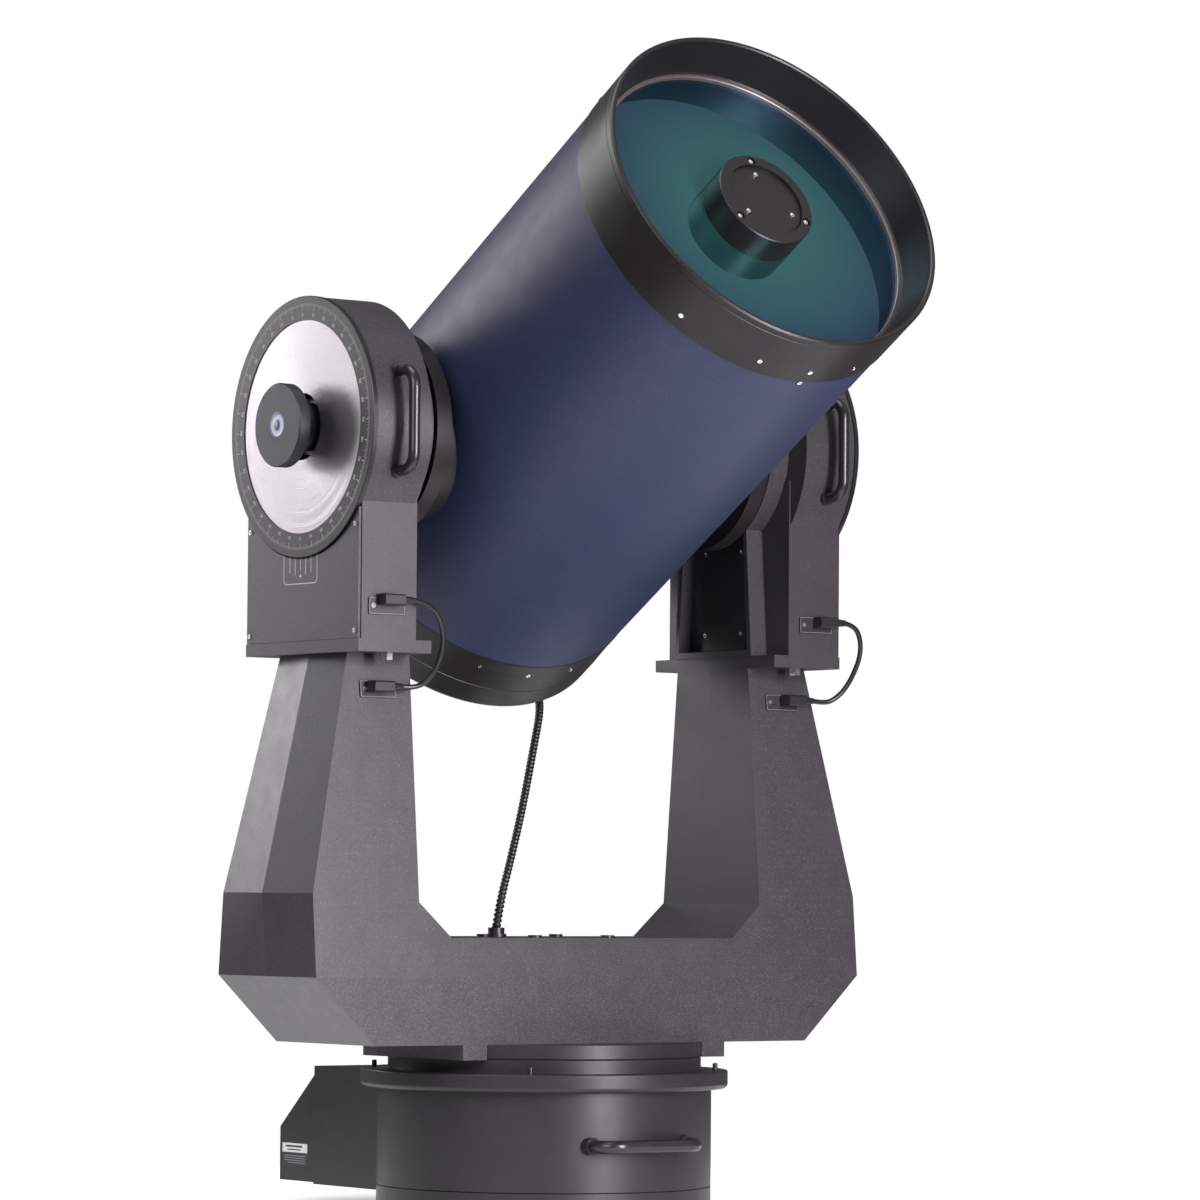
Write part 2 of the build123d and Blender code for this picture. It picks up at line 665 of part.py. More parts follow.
handle_face = math.sqrt(DRUM_HOUSING_R**2 - 61.5**2)
with BuildPart() as fork_handles:
    for sign in SIDES.values():
        upright = Plane(origin=(sign * 336, -handle_face, DEC_Z), x_dir=(0, 0, 1), z_dir=(0, -1, 0))
        add(grab_handle(upright, 123, 36, 7).part)
        for height in (-61.5, 61.5):
            with Locations((sign * 336, -handle_face + 5, DEC_Z + height)):
                Cylinder(9.4, 20, rotation=(90, 0, 0))
    with BuildSketch(dec_profile):
        Polygon((-375, 0), (375, 0), (375, DRUM_HOUSING_R), (-375, DRUM_HOUSING_R), align=None)
    revolve(axis=dec_axis, mode=Mode.SUBTRACT)
save(fork_handles, "fork_handles")

# jumper cables between the upper and lower connector plates
jumper_routes = {
    "left": [
        (-305, -142, 766), (-281, -141, 763), (-259, -136, 744), (-249, -127, 715), (-250, -116, 690),
        (-257, -107, 670), (-273, -100, 660), (-290, -97, 661),
    ],
    "right": [
        (375, -142, 762), (392, -141, 759), (405, -137, 744), (412, -129, 722), (410, -118, 698),
        (402, -108, 676), (388, -101, 662), (373, -98, 659), (358, -97, 661),
    ],
}
JUMPER_D = 6.5
for side, route in jumper_routes.items():
    save(cord(route, JUMPER_D, f"jumper_{side}"), f"jumper_cable_{side}")

with BuildPart() as cable_plugs_left:
    add(plug(-350, -305, -142, 766, -131).part)
    add(plug(-334, -290, -97, 661, -83.5).part)
save(cable_plugs_left, "cable_plugs_left")
with BuildPart() as cable_plugs_right:
    add(plug(331, 375, -142, 762, -131).part)
    add(plug(315, 358, -97, 661, -83.5).part)
save(cable_plugs_right, "cable_plugs_right")

# corrugated conduit from the fork's floor to the back of the tube
CONDUIT_D = 12.7
gland_plane = tube_face(REAR_L, 115, -90, facing=-1)
conduit_route = [
    (GLAND_FORK[0], GLAND_FORK[1], FORK_Z + FORK_FLOOR_TOP + 12), (-57, 20, 398), (-22, 50, 444),
    (33, 100, 518), (89, 155, 600), (128, 194, 654), (150, 238, 680), (160, 290, 692),
    (160, 340, 708), (154, 374, 738), (144, 386, 778), (133, 380, 820), (122, 362, 858),
    tuple(gland_plane.offset(70.3).origin), tuple(gland_plane.offset(26.3).origin),
]
save(cord(conduit_route, CONDUIT_D, "conduit"), "conduit")

with BuildPart() as conduit_gland_fork:
    with Locations((GLAND_FORK[0], GLAND_FORK[1], FORK_Z + FORK_FLOOR_TOP)):
        Cylinder(13, 4, align=(Align.CENTER, Align.CENTER, Align.MIN))
        Cylinder(10.5, 12, align=(Align.CENTER, Align.CENTER, Align.MIN))
        Cylinder(9, 12, align=(Align.CENTER, Align.CENTER, Align.MAX))
save(conduit_gland_fork, "conduit_gland_fork")

with BuildPart() as conduit_gland_rear:
    with BuildSketch(gland_plane):
        RegularPolygon(15, 6)
    extrude(amount=10)
    with BuildSketch(gland_plane.offset(10)):
        Circle(11)
    extrude(amount=16)
save(conduit_gland_rear, "conduit_gland_rear")

# ================================================================ optical tube assembly
ring_angles = [side + step for side in (0, 180) for step in (-45.8, -18, 0, 18, 45.8)]
ring_planes = []
for angle in ring_angles:
    ring_planes.append(tube_surface(490, angle, RIM_R))
    ring_planes.append(tube_surface(-191, angle, 233.1))
ring_planes += [tube_surface(467, angle, TUBE_R) for angle in (0, 180)]
SECONDARY_FACE = 527.6
thirds = [math.radians(angle) for angle in (-90, 30, 150)]
outer_spots = [(58.5 * math.cos(angle), 58.5 * math.sin(angle)) for angle in thirds]
inner_spots = [(39.0 * math.cos(angle), 39.0 * math.sin(angle)) for angle in thirds]
secondary_planes = [tube_face(SECONDARY_FACE - 4, x, y) for x, y in outer_spots + inner_spots]
ring_screws = screws(ring_planes, 3.1, 1.1, 1.6, 4)
secondary_screws = screws(secondary_planes, 3.2, 2.2, 1.8, 5)
with BuildPart() as ota_screws:
    add(ring_screws.part)
    add(secondary_screws.part)
save(ota_screws, "ota_screws")

with BuildPart() as optical_tube:
    add(about_tube([
        (TUBE_R - 2.5, REAR_RING_L), (TUBE_R, REAR_RING_L), (TUBE_R, FRONT_RING_L),
        (TUBE_R - 2.5, FRONT_RING_L),
    ]).part)
    add(ring_screws.part, mode=Mode.SUBTRACT)
save(optical_tube, "optical_tube")

with BuildPart() as front_cell:
    add(about_tube([
        (TUBE_R - 6, 455), (TUBE_R - 2.5, 455), (TUBE_R - 2.5, FRONT_RING_L), (RIM_R, FRONT_RING_L),
        (RIM_R, 537.8), (RIM_R - 0.8, 538.4), (RIM_R, 539), (RIM_R, FRONT_L - 2), (RIM_R - 2, FRONT_L),
        (228.5, FRONT_L), (227, FRONT_L - 1.5), (218.5, 497), (217, 495), (217, 481.5), (207, 481.5),
        (207, 474),
    ]).part)
    add(ring_screws.part, mode=Mode.SUBTRACT)
save(front_cell, "front_cell")

corrector_retainer = about_tube([
    (212.5, GLASS_L), (216.8, GLASS_L), (216.8, 495), (213.5, 495), (212.5, 494),
])
save(corrector_retainer, "corrector_retainer")

corrector_plate = about_tube([(52, 481.5), (216.5, 481.5), (216.5, GLASS_L), (52, GLASS_L)])
save(corrector_plate, "corrector_plate")

SECONDARY_R = 66.5
with BuildPart() as secondary_housing:
    add(about_tube([
        (0, 470), (60, 470), (60, 481.5), (52, 481.5), (52, GLASS_L), (SECONDARY_R, GLASS_L),
        (SECONDARY_R, SECONDARY_FACE - 1.2), (SECONDARY_R - 1.2, SECONDARY_FACE), (52.5, SECONDARY_FACE),
        (52.5, SECONDARY_FACE - 6), (0, SECONDARY_FACE - 6),
    ]).part)
    for x, y in outer_spots:
        with BuildSketch(tube_face(SECONDARY_FACE - 4, x, y)):
            Circle(5.5)
        extrude(amount=6, mode=Mode.SUBTRACT)
    add(secondary_screws.part, mode=Mode.SUBTRACT)
save(secondary_housing, "secondary_housing")

with BuildPart() as secondary_cover:
    with BuildSketch(tube_face(SECONDARY_FACE - 6, 0, 0)):
        Circle(52)
    extrude(amount=2)
    add(secondary_screws.part, mode=Mode.SUBTRACT)
save(secondary_cover, "secondary_cover")

secondary_mirror = about_tube([(0, 462), (50, 464), (50, 470), (0, 470)])
save(secondary_mirror, "secondary_mirror")

with BuildPart() as rear_cell:
    add(about_tube([
        (50, REAR_L), (REAR_R - 5, REAR_L), (REAR_R - 1.5, REAR_L + 1.5), (REAR_R, REAR_L + 5),
        (REAR_R - 0.3, -228), (REAR_R - 1.1, -227.4), (REAR_R - 0.4, -226.8), (233.1, -192),
        (233.1, REAR_RING_L), (TUBE_R - 2.5, REAR_RING_L), (TUBE_R - 2.5, -158), (TUBE_R - 7, -158),
        (TUBE_R - 9, -254), (50, -254),
    ]).part)
    # foot pad on the back of the cell
    with BuildSketch(tube_face(REAR_L, 0, 0, facing=-1)):
        Circle(230)
        Circle(196, mode=Mode.SUBTRACT)
        Polygon((0, 0), (500, -192), (500, 900), (-500, 900), (-500, -192), align=None, mode=Mode.SUBTRACT)
    extrude(amount=18)
    add(ring_screws.part, mode=Mode.SUBTRACT)
save(rear_cell, "rear_cell")

PORT_R = 41.0
visual_back = about_tube([
    (30, REAR_L - 24), (PORT_R, REAR_L - 24), (PORT_R, REAR_L - 8), (62, REAR_L - 8),
    (62, REAR_L), (50, REAR_L), (50, -254), (30, -254),
])
save(visual_back, "visual_back")

baffle_tube = about_tube([(27, -254), (30, -254), (30, 150), (27, 150)])
save(baffle_tube, "baffle_tube")

mirror_carrier = about_tube([
    (30.05, -205), (60, -205), (150, -180), (150, -172), (39.5, -172), (39.5, -70), (30.05, -70),
])
save(mirror_carrier, "mirror_carrier")

with BuildPart() as primary_mirror:
    with BuildSketch(ota_profile):
        with BuildLine():
            Polyline((40, -118), (40, -172), (205, -172), (205, -105))
            ThreePointArc((205, -105), (120, -113.6), (40, -118))
        make_face()
    revolve(axis=ota_axis)
save(primary_mirror, "primary_mirror")

focus_plane = tube_face(REAR_L - 1, -120, 60, facing=-1)
with BuildPart() as focus_knob:
    with BuildSketch(focus_plane):
        Circle(15)
    extrude(amount=20)
    with BuildSketch(focus_plane):
        with PolarLocations(15.5, 24):
            Circle(1.1)
    extrude(amount=20, mode=Mode.SUBTRACT)
    chamfer(focus_knob.faces().sort_by(Axis(focus_plane.origin, focus_plane.z_dir))[-1].edges(), 0.8)
save(focus_knob, "focus_knob")

lock_plane = tube_face(REAR_L - 1, -60, 150, facing=-1)
with BuildPart() as mirror_lock_knob:
    with BuildSketch(lock_plane):
        Circle(19)
        with PolarLocations(20, 6):
            Circle(5, mode=Mode.SUBTRACT)
    extrude(amount=16)
    chamfer(mirror_lock_knob.faces().sort_by(Axis(lock_plane.origin, lock_plane.z_dir))[-1].edges(), 0.8)
save(mirror_lock_knob, "mirror_lock_knob")

# trunnions, dials and the declination wheel
def trunnion(sign):
    """Round flange with a saddle that fits the tube, and the shaft through the housing."""
    with BuildPart() as piece:
        with BuildSketch(dec_profile):
            Polygon(
                (sign * 200, 0), (sign * 200, 110), (sign * 240, 110), (sign * 240, 128),
                (sign * 262, 128), (sign * 262, SHAFT_R), (sign * 368, SHAFT_R), (sign * 368, 30),
                (sign * 380, 30), (sign * 380, 0), align=None,
            )
        revolve(axis=dec_axis)
        with BuildSketch(ota_plane.offset(-200)):
            Circle(TUBE_R)
        extrude(amount=400, mode=Mode.SUBTRACT)
    return piece


for side, sign in SIDES.items():
    save(trunnion(sign), f"trunnion_{side}")

with BuildPart() as setting_circles:
    for sign in SIDES.values():
        add(about_dec([
            (HOUSING_FACE + 0.6, DISC_R), (HOUSING_FACE + 0.6, DIAL_R), (DIAL_FACE - 0.8, DIAL_R),
            (DIAL_FACE, DIAL_R - 0.8), (DIAL_FACE, DISC_R),
        ], sign).part)
save(setting_circles, "setting_circles")

with BuildPart() as dec_discs:
    for sign in SIDES.values():
        add(about_dec([
            (HOUSING_FACE + 1, 30), (HOUSING_FACE + 1, DISC_R), (DIAL_FACE - 1, DISC_R),
            (DIAL_FACE - 1, 30),
        ], sign).part)
save(dec_discs, "dec_discs")

dec_worm_wheel = about_dec([
    (304, SHAFT_R), (304, 60), (312, 60), (312, WORM_WHEEL_R), (318, WORM_WHEEL_R - 1.5),
    (324, WORM_WHEEL_R), (324, SHAFT_R),
], -1)
save(dec_worm_wheel, "dec_worm_wheel")


def hub_knob(sign):
    """Round clamp knob with two flats and a neck against the disc."""
    with BuildPart() as knob:
        with BuildSketch(dec_profile):
            Polygon(
                (sign * 380.6, 0), (sign * 380.6, 34), (sign * 401, 34), (sign * 401, 52.5),
                (sign * 414.5, 52.5), (sign * 416, 51), (sign * 416, 0), align=None,
            )
        revolve(axis=dec_axis)
    return knob


save(hub_knob(-1), "dec_clamp_knob")
save(hub_knob(1), "dec_slow_motion_knob")
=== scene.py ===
"""Fork-mounted catadioptric telescope: finishes, dials, labels, discs and cords on its frame.

Everything is in metres, +Z up along the polar axis, with the open end of the tube towards -Y.
Each sub-assembly is a class that builds its own meshes and dresses the frame's nodes; each finish
is a frozen dataclass that writes one procedural material.
"""
import json
import logging
import math
from dataclasses import dataclass, field
from enum import Enum

import bpy
import numpy as np
from mathutils import Matrix, Vector


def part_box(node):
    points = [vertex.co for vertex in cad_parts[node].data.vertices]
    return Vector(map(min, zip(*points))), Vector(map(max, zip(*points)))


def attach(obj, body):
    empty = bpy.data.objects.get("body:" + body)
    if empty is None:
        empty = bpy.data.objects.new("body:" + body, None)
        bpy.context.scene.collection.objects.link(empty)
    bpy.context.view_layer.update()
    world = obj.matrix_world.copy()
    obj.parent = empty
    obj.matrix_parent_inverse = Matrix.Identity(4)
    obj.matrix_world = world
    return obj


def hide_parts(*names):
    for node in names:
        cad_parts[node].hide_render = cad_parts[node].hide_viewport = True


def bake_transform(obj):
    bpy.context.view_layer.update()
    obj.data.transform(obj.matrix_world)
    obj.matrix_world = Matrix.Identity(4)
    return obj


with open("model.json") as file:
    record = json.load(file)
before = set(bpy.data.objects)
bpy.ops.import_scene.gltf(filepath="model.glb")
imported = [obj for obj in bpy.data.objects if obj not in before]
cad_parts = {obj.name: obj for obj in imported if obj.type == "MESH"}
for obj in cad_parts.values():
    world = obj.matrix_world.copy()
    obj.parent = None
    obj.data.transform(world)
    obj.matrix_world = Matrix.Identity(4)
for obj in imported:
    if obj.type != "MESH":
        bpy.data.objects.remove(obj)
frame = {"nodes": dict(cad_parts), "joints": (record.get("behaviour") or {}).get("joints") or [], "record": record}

log = logging.getLogger("telescope")
Point = tuple[float, float, float]
Colour = tuple[float, float, float]
MM = 0.001


# ------------------------------------------------------------------ shader maths
class Value:
    """A shader socket that takes part in arithmetic, so a mask reads like a formula."""

    def __init__(self, tree: "Tree", socket: bpy.types.NodeSocket) -> None:
        """Keep the tree that owns the socket, and the socket."""
        self.tree = tree
        self.socket = socket

    def _math(self, operation: str, first: object, second: object) -> "Value":
        """Add one Math node that joins two operands."""
        return self.tree.node("ShaderNodeMath", {"operation": operation}, {0: first, 1: second})

    def __add__(self, other: object) -> "Value":
        """Self plus other."""
        return self._math("ADD", self, other)

    __radd__ = __add__

    def __sub__(self, other: object) -> "Value":
        """Self minus other."""
        return self._math("SUBTRACT", self, other)

    def __rsub__(self, other: object) -> "Value":
        """Other minus self."""
        return self._math("SUBTRACT", other, self)

    def __mul__(self, other: object) -> "Value":
        """Self times other."""
        return self._math("MULTIPLY", self, other)

    __rmul__ = __mul__


class Tree:
    """The node tree of one material, with the few ways in which this model adds nodes to it."""

    def __init__(self, name: str) -> None:
        """Make the material with a bare Principled shader and its output.

        Args:
            name: the material's name, which is the record's slot where it has one.
        """
        self.material = bpy.data.materials.new(name)
        self.material.use_nodes = True
        self.nodes = self.material.node_tree.nodes
        self.links = self.material.node_tree.links
        self.shader = self.nodes["Principled BSDF"]

    def node(self, kind: str, settings: dict | None = None, inputs: dict | None = None,
             output: int | str = 0) -> Value:
        """Add any node.

        Args:
            kind: the node's type name.
            settings: attributes set before the inputs; "stops" fills a colour ramp.
            inputs: values, colours or Values by socket name or number.
            output: which output is returned.

        Returns:
            The chosen output as a Value.
        """
        made = self.nodes.new(kind)
        for name, value in (settings or {}).items():
            if name == "stops":
                self._fill_ramp(made, value)
            else:
                setattr(made, name, value)
        for name, value in (inputs or {}).items():
            if isinstance(value, Value):
                self.links.new(value.socket, made.inputs[name])
            else:
                made.inputs[name].default_value = value
        return Value(self, made.outputs[output])

    @staticmethod
    def _fill_ramp(ramp: bpy.types.Node, stops: list[tuple[float, float]]) -> None:
        """Set a colour ramp's stops from (place, grey level) pairs."""
        elements = ramp.color_ramp.elements
        while len(elements) < len(stops):
            elements.new(0.5)
        for element, (place, level) in zip(elements, stops):
            element.position = place
            element.color = (level, level, level, 1.0)

    def place(self, origin: Point = (0.0, 0.0, 0.0)) -> Value:
        """Object coordinates, moved so that origin is their zero."""
        coordinates = self.node("ShaderNodeTexCoord", output="Object")
        if origin == (0.0, 0.0, 0.0):
            return coordinates
        shift = {0: coordinates, 1: origin}
        return self.node("ShaderNodeVectorMath", {"operation": "SUBTRACT"}, shift)

    def noise(self, vector: Value, scale: float, detail: float = 2.0, rough: float = 0.5) -> Value:
        """Noise from 0 to 1 with features about 1 / scale metres across."""
        inputs = {"Vector": vector, "Scale": scale, "Detail": detail, "Roughness": rough}
        return self.node("ShaderNodeTexNoise", {}, inputs)

    def ramp(self, value: Value, stops: list[tuple[float, float]]) -> Value:
        """Reshape a value by a grey colour ramp."""
        return self.node("ShaderNodeValToRGB", {"stops": stops}, {"Fac": value})

    def mix(self, amount: Value | float, first: object, second: object) -> Value:
        """Blend two colours by an amount from 0 to 1."""
        inputs = {"Factor": amount, 6: first, 7: second}
        return self.node("ShaderNodeMix", {"data_type": "RGBA"}, inputs, 2)

    def bump(self, height: Value, distance: float, strength: float = 1.0) -> Value:
        """A normal from a height in units of distance metres."""
        inputs = {"Height": height, "Distance": distance, "Strength": strength}
        return self.node("ShaderNodeBump", {}, inputs, "Normal")

    def feed(self, **sockets: object) -> None:
        """Set or link the shader's own sockets; an underscore stands for a space."""
        for name, value in sockets.items():
            socket = self.shader.inputs[name.replace("_", " ")]
            if isinstance(value, Value):
                self.links.new(value.socket, socket)
            else:
                socket.default_value = value


def opaque(colour: Colour) -> tuple[float, float, float, float]:
    """The colour with full alpha."""
    return (*colour, 1.0)


# ------------------------------------------------------------------ finishes
@dataclass(frozen=True)
class Coat:
    """A powder coat, enamel or moulded skin: fine grain, speckle and broad tone.

    The grain is noise whose height feeds the normal; the speckle is noise cut high, which lifts
    single flecks of the coat to the fleck colour; the broad tone is slow noise.
    """

    name: str
    colour: Colour
    fleck: Colour
    roughness: float = 0.5
    grain: float = 1800.0
    grain_height: float = 0.00006
    fleck_scale: float = 1500.0
    fleck_cut: float = 0.62
    tone: float = 0.25
    metallic: float = 0.0
    coat: float = 0.0
    specular: float = 0.5

    def write(self) -> bpy.types.Material:
        """Write the coat's nodes.

        Returns:
            The finished material.
        """
        tree = Tree(self.name)
        place = tree.place()
        grain = tree.noise(place, self.grain, 2.0, 0.6)
        fleck_stops = [(self.fleck_cut, 0.0), (self.fleck_cut + 0.12, 1.0)]
        flecks = tree.ramp(tree.noise(place, self.fleck_scale, 1.0), fleck_stops)
        broad = tree.noise(place, 7.0, 4.0, 0.55)
        dark = tuple(level * (1.0 - self.tone) for level in self.colour)
        light = tuple(level * (1.0 + self.tone) for level in self.colour)
        body = tree.mix(broad, opaque(dark), opaque(light))
        tree.feed(
            Base_Color=tree.mix(flecks, body, opaque(self.fleck)),
            Roughness=tree.noise(place, 42.0, 3.0) * 0.16 + (self.roughness - 0.08),
            Normal=tree.bump(grain, self.grain_height),
            Metallic=self.metallic,
            Specular_IOR_Level=self.specular,
            Coat_Weight=self.coat,
            Coat_Roughness=0.25,
        )
        return tree.material


@dataclass(frozen=True)
class Metal:
    """A bare metal with tool marks: noise drawn out along one axis, and slight tarnish."""

    name: str
    colour: Colour
    tarnish: Colour
    roughness: float = 0.3
    drawn: Point = (900.0, 60.0, 60.0)
    mark_height: float = 0.00003

    def write(self) -> bpy.types.Material:
        """Write the metal's nodes.

        Returns:
            The finished material.
        """
        tree = Tree(self.name)
        place = tree.place()
        drawn = {0: place, 1: self.drawn}
        stretched = tree.node("ShaderNodeVectorMath", {"operation": "MULTIPLY"}, drawn)
        marks = tree.noise(stretched, 1.0, 3.0, 0.6)
        stains = tree.ramp(tree.noise(place, 60.0, 4.0), [(0.45, 0.0), (0.8, 1.0)])
        tree.feed(
            Base_Color=tree.mix(stains, opaque(self.colour), opaque(self.tarnish)),
            Roughness=marks * 0.18 + (self.roughness - 0.09),
            Normal=tree.bump(marks, self.mark_height),
            Metallic=1.0,
        )
        return tree.material


@dataclass(frozen=True)
class CoatedGlass:
    """The corrector's glass: a dark, mirror-smooth coat of its own teal and navy hue, with a painted reflection
    that makes the middle a brighter teal than the navy outside.
    """

    name: str
    # middle is the coat's teal brightened by a painted reflection; edge is the coat's own navy
    middle: Colour
    edge: Colour
    centre: Point
    inner: float
    outer: float
    alpha: float = 0.93

    def write(self) -> bpy.types.Material:
        """Write the glass's nodes; the tint, the coat's colour with a painted reflection in the middle, is a ramp
        on the distance from the plate's centre.

        Returns:
            The finished material.
        """
        tree = Tree(self.name)
        place = tree.place(self.centre)
        reach = tree.node("ShaderNodeVectorMath", {"operation": "LENGTH"}, {0: place}, "Value")
        share = (reach - self.inner) * (1.0 / (self.outer - self.inner))
        drift = tree.noise(place, 3.0, 2.0) * 0.3 - 0.15
        # painted reflection: the base colour is a brighter teal near the plate's centre, fading to the coat's navy
        # outside
        coat_tint_and_painted_reflection = tree.ramp(share + drift, [(0.05, 0.0), (0.95, 1.0)])
        dust = tree.ramp(tree.noise(place, 700.0, 2.0), [(0.7, 0.0), (0.78, 1.0)])
        tree.feed(
            Base_Color=tree.mix(coat_tint_and_painted_reflection, opaque(self.middle), opaque(self.edge)),
            Roughness=dust * 0.06 + 0.02,
            Metallic=0.85,
            Alpha=self.alpha,
        )
        return tree.material


@dataclass(frozen=True)
class Mirror:
    """An aluminised mirror with a trace of haze."""

    name: str
    colour: Colour

    def write(self) -> bpy.types.Material:
        """Write the mirror's nodes.

        Returns:
            The finished material.
        """
        tree = Tree(self.name)
        haze = tree.noise(tree.place(), 25.0, 3.0)
        tree.feed(
            Base_Color=tree.mix(haze, opaque(self.colour), opaque((0.8, 0.82, 0.85))),
            Roughness=haze * 0.05 + 0.01,
            Metallic=1.0,
        )
        return tree.material


@dataclass(frozen=True)
class Print:
    """Ink or engraving fill: a flat paint with a slightly uneven edge-to-edge density."""

    name: str
    colour: Colour
    roughness: float = 0.5

    def write(self) -> bpy.types.Material:
        """Write the ink's nodes.

        Returns:
            The finished material.
        """
        tree = Tree(self.name)
        place = tree.place()
        density = tree.noise(place, 260.0, 3.0)
        thin = tuple(level * 0.8 for level in self.colour)
        tree.feed(
            Base_Color=tree.mix(density, opaque(self.colour), opaque(thin)),
            Roughness=density * 0.1 + self.roughness,
            Normal=tree.bump(tree.noise(place, 1400.0), 0.00001),
        )
        return tree.material


@dataclass
class Paintbox:
    """Every finish of the model, written once, by name."""

    corrector_centre: Point
    made: dict[str, bpy.types.Material] = field(default_factory=dict)

    def finishes(self) -> list[Coat | Metal | CoatedGlass | Mirror | Print]:
        """The finishes of the model, in the order of the record's slots."""
        return [
            Coat("base_black", (0.014, 0.013, 0.014), (0.036, 0.034, 0.036), 0.38, tone=0.16,
                 specular=0.35),
            Coat("fork_grey", (0.026, 0.024, 0.027), (0.082, 0.077, 0.084), 0.36, grain=1300.0,
                 grain_height=0.00010, fleck_scale=1100.0, fleck_cut=0.56, tone=0.16),
            Coat("cell_black", (0.010, 0.009, 0.0095), (0.028, 0.026, 0.027), 0.36, tone=0.14,
                 specular=0.32),
            Coat("tube_blue", (0.014, 0.019, 0.054), (0.042, 0.054, 0.120), 0.48, grain=1600.0,
                 grain_height=0.00008, fleck_scale=1300.0, fleck_cut=0.58, tone=0.10, specular=0.45),
            Coat("handle_black", (0.012, 0.011, 0.012), (0.02, 0.02, 0.021), 0.30,
                 grain_height=0.00002, tone=0.15),
            Coat("knob_black", (0.010, 0.010, 0.013), (0.026, 0.026, 0.034), 0.42, tone=0.15),
            Coat("panel_black", (0.010, 0.010, 0.011), (0.03, 0.03, 0.03), 0.45, tone=0.2),
            Coat("pin_black", (0.010, 0.010, 0.010), (0.05, 0.04, 0.04), 0.38, tone=0.2),
            Coat("plastic_black", (0.010, 0.010, 0.011), (0.02, 0.02, 0.02), 0.36, grain=900.0,
                 tone=0.15),
            Coat("cable_black", (0.009, 0.009, 0.010), (0.014, 0.014, 0.015), 0.34, grain=700.0,
                 grain_height=0.00003, tone=0.15),
            Coat("conduit_black", (0.008, 0.008, 0.009), (0.02, 0.02, 0.02), 0.42, grain=600.0,
                 tone=0.2),
            Metal("bearing_steel", (0.62, 0.62, 0.63), (0.42, 0.40, 0.38), 0.25),
            Metal("worm_steel", (0.55, 0.55, 0.57), (0.36, 0.34, 0.32), 0.28),
            Metal("worm_wheel", (0.72, 0.50, 0.22), (0.45, 0.28, 0.12), 0.32),
            Metal("machined_aluminium", (0.75, 0.76, 0.78), (0.55, 0.55, 0.56), 0.36),
            Metal("spun_aluminium", (0.56, 0.54, 0.56), (0.54, 0.52, 0.54), 0.30,
                  (700.0, 700.0, 700.0), 0.000002),
            Coat("dial_black", (0.008, 0.008, 0.009), (0.02, 0.02, 0.02), 0.34, grain_height=0.00003),
            Metal("screw_steel", (0.82, 0.81, 0.79), (0.5, 0.48, 0.45), 0.22),
            Coat("retainer_bronze", (0.12, 0.105, 0.10), (0.20, 0.18, 0.17), 0.36, metallic=0.4),
            # corrector: the coat's own hue, with a painted reflection as the brighter teal middle
            CoatedGlass("coated_glass", (0.045, 0.170, 0.175), (0.030, 0.075, 0.130),
                        self.corrector_centre, 0.07, 0.215),
            Mirror("mirror_glass", (0.90, 0.91, 0.93)),
            Coat("baffle_black", (0.006, 0.006, 0.006), (0.01, 0.01, 0.01), 0.75),
            Print("ink_white", (0.62, 0.62, 0.60), 0.5),
            Print("ink_grey", (0.22, 0.22, 0.24), 0.45),
            Print("badge_blue", (0.10, 0.16, 0.42), 0.4),
            Print("label_black", (0.012, 0.012, 0.013), 0.35),
        ]

    def __post_init__(self) -> None:
        """Write every finish."""
        for finish in self.finishes():
            self.made[finish.name] = finish.write()

    def dress_nodes(self) -> None:
        """Give each node of the frame the finish of the material slot that the record names."""
        for part in frame["record"]["subparts"]:
            node = frame["nodes"].get(part["node"])
            if node is None:
                continue
            node.data.materials.clear()
            node.data.materials.append(self.made[part["material_slot"]])
            log.info("dressed %s in %s", part["node"], part["material_slot"])


# ------------------------------------------------------------------ mesh making
def hinge_point(joint: str) -> Vector:
    """The place of a joint at rest, from the record, in metres."""
    return next(Vector(j["pos_m"]) for j in frame["joints"] if j["name"] == joint)


def node_middle(node: str) -> Vector:
    """The middle of a node's box."""
    low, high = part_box(node)
    return (low + high) / 2


def add_mesh(name: str, points: np.ndarray, faces: np.ndarray | list,
             materials: list[bpy.types.Material], smooth: bool = True) -> bpy.types.Object:
    """Put computed points and faces into a new object at the origin.

    Args:
        name: the piece's name.
        points: an (n, 3) array in metres in the row frame.
        faces: rows of point numbers, counter-clockwise seen from outside.
        materials: the piece's material slots.
        smooth: whether faces are shaded smooth.

    Returns:
        The new object, linked to the scene.
    """
    mesh = bpy.data.meshes.new(name)
    mesh.from_pydata(points.reshape(-1, 3).tolist(), [], [list(map(int, face)) for face in faces])
    mesh.polygons.foreach_set("use_smooth", np.full(len(mesh.polygons), smooth))
    for material in materials:
        mesh.materials.append(material)
    mesh.update()
    made = bpy.data.objects.new(name, mesh)
    bpy.context.scene.collection.objects.link(made)
    return made


def grid_faces(rows: int, columns: int, wrap_rows: bool = False,
               wrap_columns: bool = False) -> np.ndarray:
    """Quads of a grid of points numbered row by row, closed round either way when asked."""
    row_starts = np.arange(rows if wrap_rows else rows - 1)
    column_starts = np.arange(columns if wrap_columns else columns - 1)
    row, column = np.meshgrid(row_starts, column_starts, indexing="ij")
    after_row = (row + 1) % rows
    after_column = (column + 1) % columns
    corners = (
        row * columns + column, after_row * columns + column,
        after_row * columns + after_column, row * columns + after_column,
    )
    return np.stack([corner.ravel() for corner in corners], axis=1)


